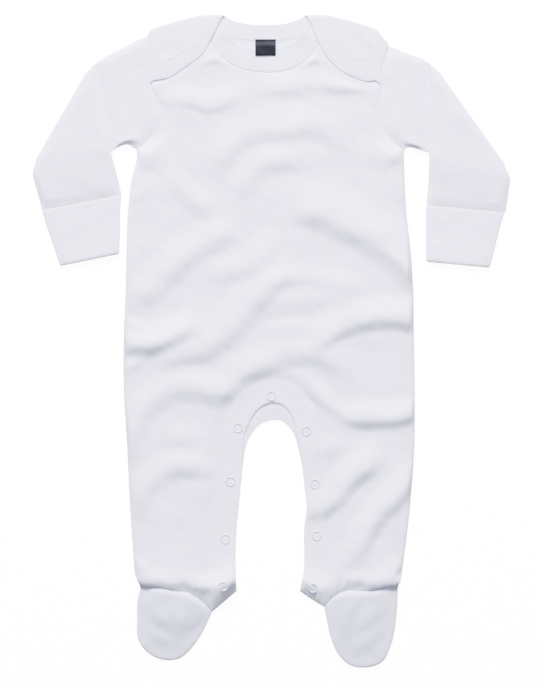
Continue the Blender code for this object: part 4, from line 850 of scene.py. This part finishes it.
def tube_loop(wall, height, spans_across, edge_steps=6):
    """Outer and inner loop of a flattened tube: at each point how far from the upper edge it lies, as a
    share of the width and as a length to add, and its height. The sides are half rounds."""
    radius = height / 2
    loops = []
    for inner in (0.0, wall):
        small = radius - inner
        share = np.linspace(0.0, 1.0, spans_across + 1)
        turn = np.linspace(-math.pi / 2, math.pi / 2, edge_steps + 1)[1:-1]
        side = small * np.cos(turn) - radius
        rise = small * np.sin(turn)
        under = np.column_stack([share, radius * (1 - 2 * share), np.full(len(share), inner)])
        upper = np.column_stack([share[::-1], radius * (2 * share - 1), np.full(len(share), height - inner)])
        loops.append(np.vstack([under, np.column_stack([np.ones(len(turn)), side, radius + rise]), upper,
                                np.column_stack([np.zeros(len(turn)), -side, radius - rise])]))
    return np.array(loops)


def laid_rings(rows, loops, bow_line):
    """Plan places of every row's two loops, which bow with the armhole as far as the row keeps of it; and at
    each point its height in the tube and how far in from the nearer edge it lies, as a share of the width."""
    top, low, bow = rows[:, None, None, 0:2], rows[:, None, None, 2:4], rows[:, None, None, 4:5]
    width = np.sqrt(((low - top)**2).sum(axis=-1, keepdims=True))
    share = loops[None, ..., 0:1] + loops[None, ..., 1:2] / width
    run = np.linspace(0.0, 1.0, len(bow_line))
    bulge = bow_line - (bow_line[0] + run[:, None] * (bow_line[-1] - bow_line[0]))
    bent = np.stack([np.interp(share[..., 0], run, bulge[:, k]) for k in (0, 1)], axis=-1)
    place = top + share * (low - top) + bow * bent
    inside = np.minimum(loops[..., 0], 1 - loops[..., 0])
    return place, *(np.broadcast_to(each, place.shape[:-1]) for each in (loops[..., 2], inside))


def between_rows(table, step):
    """Rows at even steps along a tube, on smooth lines through the table's rows."""
    rows = np.array(table)
    at = lengths((rows[:, 0:2] + rows[:, 2:4]) / 2)
    return spans(rows, at, np.linspace(0.0, at[-1], int(round(at[-1] / step)) + 1))


def end_fall(rings, first, last):
    """Rings whose outer loops turn in towards the inner ones at the tube's open ends, by a share of the wall."""
    middle = rings[:, 0].mean(axis=1)
    run = np.concatenate([[0.0], np.cumsum(np.sqrt((np.diff(middle, axis=0)**2).sum(axis=1)))])
    share = ((edge_fall(run, first) + edge_fall(run[-1] - run, last)) / WALL)[:, None, None]
    rings[:, 0] += share * (rings[:, 1] - rings[:, 0])
    return rings


def tube_faces(rows, around):
    """Faces of a tube's outer and inner walls and of its two open ends' rims."""
    index = np.arange(rows * 2 * around).reshape(rows, 2, around)
    index = np.concatenate([index, index[..., :1]], axis=2)
    outer, inner = quads(index[:, 0]), quads(index[:, 1])[:, ::-1]
    first = np.stack([index[0, 0, :-1], index[0, 0, 1:], index[0, 1, 1:], index[0, 1, :-1]], axis=-1)
    last = np.stack([index[-1, 0, :-1], index[-1, 1, :-1], index[-1, 1, 1:], index[-1, 0, 1:]], axis=-1)
    return np.vstack([outer, inner, first, last])


def facing_out(points, faces):
    """The faces, all turned over if the shape that they close has a negative volume."""
    a, b, c, d = (points[faces[:, k]] for k in range(4))
    volume = (np.cross(a, b) * c).sum() + (np.cross(a, c) * d).sum()
    return faces if volume > 0 else faces[:, ::-1]


def wrapped(rings):
    """Pattern of a tube cut open along its lower edge: how far round and how far along each point lies."""
    outer = rings[:, 0]
    around = np.cumsum(np.sqrt((np.diff(outer[0], axis=0)**2).sum(axis=-1)))
    middle = outer.mean(axis=1)
    along = np.concatenate([[0.0], np.cumsum(np.sqrt((np.diff(middle, axis=0)**2).sum(axis=1)))])
    u, v = np.meshgrid(np.concatenate([[0.0], around]), along)
    whole = around[-1] + math.dist(outer[0, 0], outer[0, -1])
    return np.repeat(np.stack([u, v], axis=-1)[:, None], 2, axis=1).reshape(-1, 2), whole


def tube_piece(name, node, rings, finish):
    """Cloth object of a tube's rings, and its shape for the stitches to lie on."""
    points = rings.reshape(-1, 3)
    faces = facing_out(points, tube_faces(len(rings), rings.shape[2]))
    pattern, around = wrapped(rings)
    made = piece(name, points, faces, pattern, finish, node, around)
    return made, BVHTree.FromPolygons(points.tolist(), faces.tolist())


def sleeve(name, arm, forearm, armhole, creases, seed):
    """Flattened sleeve: rings out from the armhole, round the elbow fold as half a turn, and down to the
    cuff. Its upper side stands off by a low crown, the creases and small ripples."""
    loops = tube_loop(WALL, SLEEVE_HEIGHT, SLEEVE_COLUMNS)
    sign = math.copysign(1.0, armhole[0, 0])
    start = shifted(armhole, -sign * SEAM_LAP)
    fold_top, fold_low = np.array(arm[-1][0:2]), np.array(arm[-1][2:4])
    along = (fold_low - fold_top) / np.hypot(*(fold_low - fold_top))
    outward = np.array([-along[1], along[0]]) * math.copysign(1.0, -along[1] * fold_top[0])
    fold = np.append(np.array(arm[-1][:4]) - np.tile(outward * ELBOW_RADIUS, 2), 0.0)
    edge = np.array(arm[2][2:4]) - fold_low
    edge = edge / np.hypot(*edge)
    down = np.array([edge[1], -edge[0]]) * math.copysign(1.0, edge[0])
    inner_edge = curve([fold_top, *[row[0:2] for row in forearm]])
    flap_low = (RIGHT_FLAP if sign < 0 else LEFT_FLAP)[0][1]

    def raised(place, inside, width, seam):
        """Rise of the side that shows: crown, creases and ripples, none at the tube's edges."""
        flat = place.reshape(-1, 2)
        rise = (SLEEVE_CROWN + 0.2 * ripple(flat, 30.0, seed) + 0.08 * ripple(flat, 11.0, seed + 5)
                + sum(fold_height(flat, *crease) for crease in creases))
        held = smooth_step(inside * width / 5.0) * smooth_step(seam / 9.0)
        return rise.reshape(place.shape[:-1]) * held

    def off(line, place):
        """Distance of each place from a line, with its sign."""
        return near(line, place.reshape(-1, 2))[0].reshape(place.shape[:-1])

    rows = between_rows([(*start[0], *start[-1], 1.0), *arm[1:-1], fold], SLEEVE_ROW)
    place, height, inside = laid_rings(rows, loops, start)
    from_seam = np.abs(off(armhole, place))
    shows = smooth_step((off(inner_edge, place) * -sign - 3.0) / 9.0) * (height > SLEEVE_HEIGHT / 2)
    by_flap = smooth_step((place[..., 1] - flap_low) / 8.0) * (1 - smooth_step(from_seam / 16.0))
    lift = raised(place, inside, UPPER_ARM_WIDTH, from_seam) * shows
    lift = lift + FLAP_JOIN * by_flap * shows * smooth_step(inside * 14.0)
    tucks = puckers(armhole, place.reshape(-1, 2), 8.0, 10.0, seed).reshape(inside.shape)
    lift = lift + 0.22 * tucks * shows * smooth_step(from_seam / 2.0) * smooth_step(inside * 9.0)
    arm_rings = np.concatenate([place, (height + lift)[..., None]], axis=-1)

    turn = np.linspace(0.0, math.pi, ELBOW_STEPS)[1:-1, None, None]
    place, height, inside = laid_rings(fold[None], loops, start)
    reach = ELBOW_RADIUS - height
    ends = 0.1 + 0.9 * smooth_step(inside / 0.1)
    bend = np.concatenate([place + outward * (reach * ends * np.sin(turn))[..., None],
                           (ELBOW_RADIUS - reach * np.cos(turn))[..., None]], axis=-1)

    place, height, inside = laid_rings(between_rows([fold, *forearm], SLEEVE_ROW), loops, start)
    to_low = smooth_step(((place - fold_low) @ down - FOREARM_DROP[0]) / FOREARM_DROP[1])
    lower = (2 * ELBOW_RADIUS - SLEEVE_HEIGHT) * to_low
    ends = np.array([fold_top, fold_low]), np.array([forearm[-1][0:2], forearm[-1][2:4]])
    off_ends = [np.abs(off(end, place)) for end in ends]
    shows = height < SLEEVE_HEIGHT / 2
    lift = raised(place, inside, FOREARM_WIDTH, np.minimum(*off_ends)) * shows
    to_cuff = smooth_step(lower / (2 * ELBOW_RADIUS - SLEEVE_HEIGHT))
    lift = lift + CUFF_JOIN * to_cuff * shows * smooth_step(inside * 9.0)
    forearm_rings = np.concatenate([place, (2 * ELBOW_RADIUS - height - lower + lift)[..., None]], axis=-1)

    rings = end_fall(np.concatenate([arm_rings, bend, forearm_rings]), TUBE_SEAM_DROP, TUBE_SEAM_DROP)
    return tube_piece(f"{name}_sleeve_cloth", f"{name}_sleeve", rings, body_knit)


right_sleeve, right_sleeve_shape = sleeve("right", RIGHT_ARM, RIGHT_FOREARM, armhole_r, RIGHT_CREASES, 11)
left_sleeve, left_sleeve_shape = sleeve("left", LEFT_ARM, LEFT_FOREARM, armhole_l, LEFT_CREASES, 23)

# ------------------------------------------------------------------ cuffs
# A band of doubled knit sewn on at each sleeve's end, which carries the flattened tube on to its open mouth.
CUFF_WALL = 1.2
CUFF_HEIGHT = 2 * CUFF_WALL + GAP
CUFF_MOUTH = 0.9                # the upper side stands up by this much at the mouth
CUFF_ROW = 1.6
CUFF_COLUMNS = 40
RIGHT_CUFF = ((-131.3, 130.1, -202.0, 116.3, 0.0), (-132.4, 112.0, -197.2, 100.5, 0.0),
              (-132.6, 94.5, -191.6, 84.5, 0.0), (-133.2, 77.2, -185.6, 66.4, 0.0))
LEFT_CUFF = ((139.6, 120.7, 209.2, 114.5, 0.0), (139.5, 103.0, 204.6, 98.0, 0.0),
             (139.5, 86.0, 200.6, 81.6, 0.0), (139.6, 70.2, 196.4, 64.9, 0.0))


def cuff(name, table, seed):
    """Flattened cuff: rings from the sleeve's seam to the mouth, where its upper side lifts a little."""
    rows = between_rows(table, CUFF_ROW)
    place, height, inside = laid_rings(rows, tube_loop(CUFF_WALL, CUFF_HEIGHT, CUFF_COLUMNS), np.zeros((2, 2)))
    along = np.broadcast_to(np.linspace(0.0, 1.0, len(rows))[:, None, None], inside.shape)
    flat = place.reshape(-1, 2)
    held = smooth_step(inside * 9.0)
    ripples = (0.16 * ripple(flat, 26.0, seed) + 0.05 * ripple(flat, 9.0, seed + 3)).reshape(inside.shape)
    lift = held * (CUFF_JOIN - 0.4 + CUFF_MOUTH * smooth_step((along - 0.4) / 0.6)
                   + ripples * smooth_step(along / 0.2))
    rings = np.concatenate([place, (height + lift * (height > CUFF_HEIGHT / 2))[..., None]], axis=-1)
    rings = end_fall(rings, TUBE_SEAM_DROP, EDGE_DROP)
    return tube_piece(f"{name}_cuff_band", f"{name}_cuff", rings, band_knit)


right_cuff, right_cuff_shape = cuff("right", RIGHT_CUFF, 31)
left_cuff, left_cuff_shape = cuff("left", LEFT_CUFF, 37)

# ------------------------------------------------------------------ feet
# Each foot is a rounded top set into the leg's curved ankle seam, and a sole of the same knit that runs on
# from the back of the leg. They are sewn together round the toe.
RIGHT_TOE = ((-50.6, -241.4), (-58.7, -258.5), (-69.0, -273.6), (-79.0, -282.4), (-98.3, -282.8),
             (-109.9, -275.6), (-115.8, -267.2), (-117.4, -246.0), (-117.2, -232.0), (-114.4, -219.4))
LEFT_TOE = ((49.0, -236.6), (51.3, -248.3), (55.6, -266.0), (61.4, -278.6), (74.6, -289.6), (86.0, -290.8),
            (100.4, -286.0), (108.4, -271.2), (113.4, -245.6), (114.9, -219.0))
RIGHT_TUCK = ((-114.4, -219.4), (-107.0, -212.8), (-94.0, -214.4), (-84.0, -217.2), (-80.0, -222.9))
LEFT_TUCK = ((114.9, -219.0), (107.0, -211.8), (98.0, -213.4), (89.0, -216.0), (85.0, -222.4))
FOOT_TIP_CROWN = 0.9            # the toe cloth stands up just past the ankle and sinks to this at the tip
FOOT_SIDE_WIDTH = 24.0
FOOT_LENGTH = 46.0
FOOT_COLUMNS = 52
FOOT_ROWS = 44
TOE_CORNERS = (16.0, 14.0)      # the tip runs this far to either side of the toe's lowest point
RIGHT_FOOT_CREASES = (
    (((-116, -232), (-106, -246), (-90, -256), (-74, -272)), 1.3, 5.0, 12.0),
    (((-96, -234), (-84, -248), (-70, -262)), 1.0, 4.0, 10.0),
    (((-62, -230), (-66, -244), (-72, -258)), 0.8, 3.0, 9.0),
    (((-112, -258), (-100, -268), (-84, -276)), 0.7, 4.0, 9.0),
)
LEFT_FOOT_CREASES = (
    (((72, -222), (66, -240), (62, -256), (60, -276)), 1.5, 3.5, 11.0),
    (((66, -264), (80, -258), (96, -246), (108, -232)), 0.9, 5.0, 12.0),
    (((68, -284), (84, -276), (100, -262), (110, -250)), 1.0, 4.5, 11.0),
)

# The foot tops are the body's own knit with its colour painted darker: painted shade for the shade that the feet
# lie in, not a different cloth.
foot_top_shaded_knit = knit("white cotton interlock, painted shade", (0.59, 0.59, 0.67), 0.0008, 0.0007, 0.00022)


def foot_piece(node, edges, height, creases, seed, finish, on_top):
    """Cloth between four edges; its height is given at each point of the grid. Its outside is rounded down, on
    the top piece over it and on the sole under it."""
    first, last, left, right = edges
    grid = hemmed(patch(evenly(first, FOOT_COLUMNS), evenly(last, FOOT_COLUMNS), evenly(left, FOOT_ROWS),
                        evenly(right, FOOT_ROWS)))
    flat = grid.reshape(-1, 2)
    faces = quads(np.arange(len(flat)).reshape(grid.shape[:2]))
    fall = edge_fall(near_any(edges, flat))
    base = height(flat)
    if on_top:
        off = near_any([last, left, right], flat)
        base = base + smooth_step(off / 7.0) * (0.2 * ripple(flat, 24.0, seed) + sum(
            fold_height(flat, *crease) for crease in creases))
        lower, upper = base, base + WALL - fall
    else:
        lower, upper = base + fall, base + WALL
    points, faces = walled(np.column_stack([flat, lower]), np.column_stack([flat, upper]), faces)
    return piece(f"{node}_cloth", points, facing_out(points, faces), np.vstack([flat, flat]), finish, node)


def foot(side, hem, dome, heel, toe, tuck, ankle, crown, creases, seed):
    """Foot top and sole of one leg: grids whose corners lie at the ankle's ends and either side of the toe."""
    sign = -1.0 if side == "right" else 1.0
    toe = curve(toe)
    run = lengths(toe)
    low = toe[:, 1].argmin()
    inner_corner = np.abs(run - (run[low] - TOE_CORNERS[0])).argmin()
    outer_corner = np.abs(run - (run[low] + TOE_CORNERS[1])).argmin()
    upper_edge = np.vstack([np.array(tuck), dome + [0.0, SEAM_LAP]])
    tip = toe[outer_corner:inner_corner - 1:-1]
    outer, inner = toe[outer_corner:][::-1], toe[:inner_corner + 1]
    leg_end = np.vstack([hem, dome[1:]])

    def stands(flat):
        """Height of the top's underside: a quick rise past the leg's end, a long fall to the tip, rounded
        down at the toe's seam."""
        below = sign * near(leg_end, flat)[0]
        off = near_any([toe], flat)
        long_fall = 1 - smooth_step((below - 8.0) / FOOT_LENGTH)
        rise = FOOT_TIP_CROWN + (crown - FOOT_TIP_CROWN) * long_fall
        return (LAYER + rise * smooth_step((below + 0.4) / 4.5) * smooth_step(off / FOOT_SIDE_WIDTH)
                - SIDE_SINK * (1 - smooth_step(off / 3.0)))

    top = foot_piece(f"{side}_foot_top", [upper_edge, tip, outer, inner], stands, creases, seed, foot_top_shaded_knit, True)
    leg = ankle + [0.0, SEAM_LAP]
    sole_inner = np.vstack([heel[::-1] + [0.0, SEAM_LAP], inner[1:]])
    sole_edges = [leg, tip, np.vstack([leg[:1], outer[1:]]), np.vstack([leg[-1:], sole_inner[1:]])]
    sole = foot_piece(f"{side}_foot_sole", sole_edges, lambda flat: np.zeros(len(flat)), (), seed, body_knit,
                      False)
    return top, sole


right_top, right_sole = foot("right", hem_r, dome_r, heel_r, RIGHT_TOE, RIGHT_TUCK, np.array(RIGHT_ANKLE), 4.4,
                             RIGHT_FOOT_CREASES, 41)
left_top, left_sole = foot("left", hem_l, dome_l, heel_l, LEFT_TOE, LEFT_TUCK, np.array(LEFT_ANKLE), 3.4,
                           LEFT_FOOT_CREASES, 47)

# ------------------------------------------------------------------ snaps
# Nine enamelled ring snaps pressed through the doubled snap edge: one at the crotch, four down each inner leg.
# The cloth shows in the middle of each ring.
SNAPS = (("snap_crotch", 2.2, -49.0), ("snap_right_leg_1", -27.6, -77.4), ("snap_right_leg_2", -34.2, -125.1),
         ("snap_right_leg_3", -38.8, -176.2), ("snap_right_leg_4", -40.6, -218.0),
         ("snap_left_leg_1", 32.9, -80.1), ("snap_left_leg_2", 40.9, -127.3), ("snap_left_leg_3", 42.4, -173.2),
         ("snap_left_leg_4", 39.0, -219.6))
SNAP_PROFILE = ((0.0, 0.2), (1.0, 0.18), (1.9, 0.1), (2.6, -0.02), (2.95, -0.06), (3.05, 0.16), (3.25, 0.4),
                (3.55, 0.54), (3.85, 0.56), (4.15, 0.5), (4.4, 0.34), (4.55, 0.12), (4.6, -0.1), (4.5, -0.45))
SNAP_SIDES = 48
SNAP_HOLE = 2.9                 # the cloth shows inside this radius
SNAP_SEAT = 4.3                 # the ring rests on the cloth at this radius
ABOVE = 30.0                    # higher than all of the suit


def enamel():
    """Thick white enamel: glossy under a thin coat, a little uneven where it flowed."""
    made, tree = material("white snap enamel", (0.66, 0.66, 0.74), {
        "Base Color": (0.58, 0.58, 0.66, 1.0), "Coat Weight": 0.3, "Coat Roughness": 0.15})
    place = shader_node(tree, "TexCoord")
    flow = shader_node(tree, "TexNoise", {"Scale": 700.0})
    worn = shader_node(tree, "MapRange", {"To Min": 0.3, "To Max": 0.5})
    tree.links.new(place.outputs["Object"], flow.inputs["Vector"])
    tree.links.new(flow.outputs["Fac"], worn.inputs["Value"])
    tree.links.new(worn.outputs["Result"], tree.nodes["Principled BSDF"].inputs["Roughness"])
    bumped(tree, flow.outputs["Fac"], 0.2, 0.0001)
    return made


snap_enamel = enamel()
turn = np.linspace(0.0, 2 * math.pi, SNAP_SIDES, endpoint=False)
profile = np.array(SNAP_PROFILE)[1:]
rounds = np.stack([profile[:, :1] * np.cos(turn), profile[:, :1] * np.sin(turn),
                   np.broadcast_to(profile[:, 1:], (len(profile), SNAP_SIDES))], axis=-1)
index = np.arange(rounds[..., 0].size).reshape(rounds.shape[:2]) + 1
index = np.column_stack([index, index[:, :1]])
foot_point = index.max() + 1
ring_faces = quads(index)
middle = np.column_stack([np.zeros(SNAP_SIDES, int), index[0, :-1], index[0, 1:]])
base = np.column_stack([np.full(SNAP_SIDES, foot_point), index[-1, 1:], index[-1, :-1]])
cap = np.vstack([[0.0, 0.0, SNAP_PROFILE[0][1]], rounds.reshape(-1, 3), [0.0, 0.0, SNAP_PROFILE[-1][1]]])
snap_faces = [*middle.tolist(), *ring_faces.tolist(), *base.tolist()]
in_cloth = np.concatenate([np.ones(SNAP_SIDES, bool), np.hypot(*cap[ring_faces[:, 0], :2].T) < SNAP_HOLE,
                           np.zeros(SNAP_SIDES, bool)])
rim = SNAP_SEAT * np.column_stack([np.cos(turn[::4]), np.sin(turn[::4])])
for name, x, y in SNAPS:
    heights = np.array([front_shape.ray_cast((x + dx, y + dy, ABOVE), (0.0, 0.0, -1.0))[0][2] for dx, dy in rim])
    seat, tilt = heights.mean(), 2 * (heights[:, None] * rim).mean(axis=0) / SNAP_SEAT**2
    placed = np.column_stack([x + cap[:, 0] - tilt[0] * cap[:, 2], y + cap[:, 1] - tilt[1] * cap[:, 2],
                              seat + cap[:, 2] + cap[:, :2] @ tilt])
    ring = on_suit(f"{name}_ring", placed, snap_faces, placed[:, :2], [snap_enamel, body_knit], 60)
    ring.data.polygons.foreach_set("material_index", in_cloth.astype(np.int32))
    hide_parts(name)

# ------------------------------------------------------------------ stitches
# White polyester thread. Rows of short stitches hold the snap edge, the neckbands, the cuffs and the ankles;
# each stitch is a small plump bead of thread drawn into the cloth.
STITCH_PITCH = 2.6
STITCH_LENGTH = 1.9
THREAD_RADIUS = 0.2
STITCH_STEP = 0.8               # a stitch that would drop by more than this is left out
CUFF_INSET = 1.5                # the cuffs' rows start this far in from the edges


def thread():
    """Twisted white thread: slanting fine ridges on the thread's own place along each stitch."""
    made, tree = material("white sewing thread", (0.76, 0.76, 0.85), {
        "Base Color": (0.76, 0.76, 0.85, 1.0), "Roughness": 0.6, "Sheen Weight": 0.3})
    uv = shader_node(tree, "UVMap", uv_map="cloth")
    wave = shader_node(tree, "TexWave", {"Scale": 900.0}, bands_direction="DIAGONAL")
    tree.links.new(uv.outputs["UV"], wave.inputs["Vector"])
    bumped(tree, wave.outputs["Fac"], 0.4, 0.00005)
    return made


def laid_row(line, shape, from_above=True):
    """Places and directions of the stitches along a line, dropped onto a piece from above or below."""
    run = lengths(line)
    at = np.arange(STITCH_PITCH, run[-1] - STITCH_PITCH, STITCH_PITCH)
    start, end = walked(line, at - STITCH_LENGTH / 2), walked(line, at + STITCH_LENGTH / 2)
    side = 1.0 if from_above else -1.0
    ends = [[shape.ray_cast((x, y, side * ABOVE), (0.0, 0.0, -side))[0] for x, y in row] for row in (start, end)]
    kept = [(a, b) for a, b in zip(*ends) if a and b and abs(a[2] - b[2]) < STITCH_STEP]
    first, last = np.array(kept).swapaxes(0, 1)
    return (first + last) / 2, last - first


def stitches(name, rows):
    """All the stitches of one seam: a bead whose radius swells as a half sine along it, six points round."""
    centre = np.vstack([row[0] for row in rows])
    along = np.vstack([row[1] for row in rows])
    along = along / np.linalg.norm(along, axis=1)[:, None]
    across = np.cross([0.0, 0.0, 1.0], along)
    across = across / np.linalg.norm(across, axis=1)[:, None]
    up = np.cross(along, across)
    share = np.linspace(0.0, 1.0, 6)[1:-1]
    turn = np.linspace(0.0, 2 * math.pi, 6, endpoint=False)
    radius = THREAD_RADIUS * np.sin(math.pi * share)**0.5
    template = np.vstack([[[-0.5 * STITCH_LENGTH, 0.0, 0.0]],
                          np.stack([np.broadcast_to(STITCH_LENGTH * (share - 0.5), (6, 4)).T,
                                    radius[:, None] * np.cos(turn), radius[:, None] * np.sin(turn)],
                                   axis=-1).reshape(-1, 3),
                          [[0.5 * STITCH_LENGTH, 0.0, 0.0]]])
    points = (centre[:, None] + template[None, :, :1] * along[:, None] + template[None, :, 1:2] * across[:, None]
              + template[None, :, 2:] * up[:, None]).reshape(-1, 3)
    index = np.arange(24).reshape(4, 6) + 1
    index = np.column_stack([index, index[:, :1]])
    caps = np.vstack([np.column_stack([np.zeros(6, int), index[0, 1:], index[0, :-1]]),
                      np.column_stack([np.full(6, 25), index[-1, :-1], index[-1, 1:]])])
    sides = quads(index)[:, ::-1]
    first = 26 * np.arange(len(centre))[:, None, None]
    faces = [*(caps + first).reshape(-1, 3).tolist(), *(sides + first).reshape(-1, 4).tolist()]
    on_suit(name, points, faces, np.tile(template[:, :2], (len(centre), 1)), [white_thread])


def over_band(table, row, shift):
    """Line across a cuff at one row of its table, a little in from both edges and moved along the arm."""
    top, low = np.array(table[row][0:2]), np.array(table[row][2:4])
    across = (low - top) / np.hypot(*(low - top))
    way = np.array(table[-1][0:2]) - np.array(table[0][0:2])
    way = way / np.hypot(*way)
    return np.linspace(top + CUFF_INSET * across, low - CUFF_INSET * across, 60) + shift * way


white_thread = thread()
stitches("snap_edge_stitches", [laid_row(shifted(snap_edge, off), front_shape)
                                for off in (2.6, PLACKET_WIDTH + 1.6)])
stitches("front_neck_stitches", [laid_row(shifted(neck_seam, -1.9)[22:-22], front_shape)])
flap_row = laid_back(shifted(neck_edge, -NECKBAND_WIDTH - 1.9))[0][:, :2]
stitches("back_neck_stitches", [laid_row(flap_row, back_shape)])
stitches("ankle_stitches", [laid_row(shifted(hem_r, 3.0), front_shape),
                            laid_row(shifted(hem_l, -3.0), front_shape)])
for side, table, sleeve_shape, cuff_shape in (("right", RIGHT_CUFF, right_sleeve_shape, right_cuff_shape),
                                              ("left", LEFT_CUFF, left_sleeve_shape, left_cuff_shape)):
    ends = (over_band(table, 0, -2.2), sleeve_shape), (over_band(table, 3, -3.4), cuff_shape)
    stitches(f"{side}_cuff_stitches", [laid_row(line, shape, above) for above in (True, False)
                                       for line, shape in ends])

# ------------------------------------------------------------------ stage, light and camera
# A plain pale floor, a broad soft light from beyond the neck and a camera straight above.
floor_mesh = bpy.data.meshes.new("floor")
floor_mesh.from_pydata([(x, y, -0.0002) for x, y in ((-3.0, -3.0), (3.0, -3.0), (3.0, 3.0), (-3.0, 3.0))],
                       [], [(0, 1, 2, 3)])
floor = bpy.data.objects.new("floor", floor_mesh)
bpy.context.scene.collection.objects.link(floor)
paper, _ = material("white paper", (0.8, 0.8, 0.8), {
    "Base Color": (0.95, 0.95, 0.95, 1.0), "Roughness": 0.9,
    "Emission Color": (1.0, 1.0, 1.0, 1.0), "Emission Strength": 12.0})
floor_mesh.materials.append(paper)
floor.visible_diffuse = False
floor.visible_glossy = False

world = bpy.data.worlds.new("studio")
world.use_nodes = True
world.node_tree.nodes["Background"].inputs["Color"].default_value = (0.82, 0.83, 1.0, 1.0)
world.node_tree.nodes["Background"].inputs["Strength"].default_value = 0.45
bpy.context.scene.world = world


def soft_light(name, place, target, size, power):
    """Square soft box at a place, turned to a target."""
    lamp = bpy.data.lights.new(name, "AREA")
    lamp.shape = "SQUARE"
    lamp.size = size
    lamp.energy = power
    lamp.color = (0.83, 0.835, 1.0)
    holder = bpy.data.objects.new(name, lamp)
    bpy.context.scene.collection.objects.link(holder)
    way = np.array(target) - np.array(place)
    way = way / np.linalg.norm(way)
    holder.location = place
    holder.rotation_euler = (math.acos(-way[2]), 0.0, math.atan2(way[0], -way[1]) + math.pi)


soft_light("main_softbox", (-0.3, 3.4, 1.9), (0.0, 0.0, 0.0), 1.2, 1480.0)
soft_light("overhead_softbox", (0.0, 0.2, 3.4), (0.0, 0.0, 0.0), 1.6, 52.0)

CAMERA_HEIGHT = 3.0
FRAME_HEIGHT = 0.6141
lens = bpy.data.cameras.new("overhead")
lens.sensor_fit = "VERTICAL"
lens.sensor_height = 24.0
lens.lens = 24.0 * CAMERA_HEIGHT / FRAME_HEIGHT
lens.clip_end = 20.0
camera = bpy.data.objects.new("overhead", lens)
camera.location = (0.0018, -0.0036, CAMERA_HEIGHT)
bpy.context.scene.collection.objects.link(camera)
bpy.context.scene.camera = camera
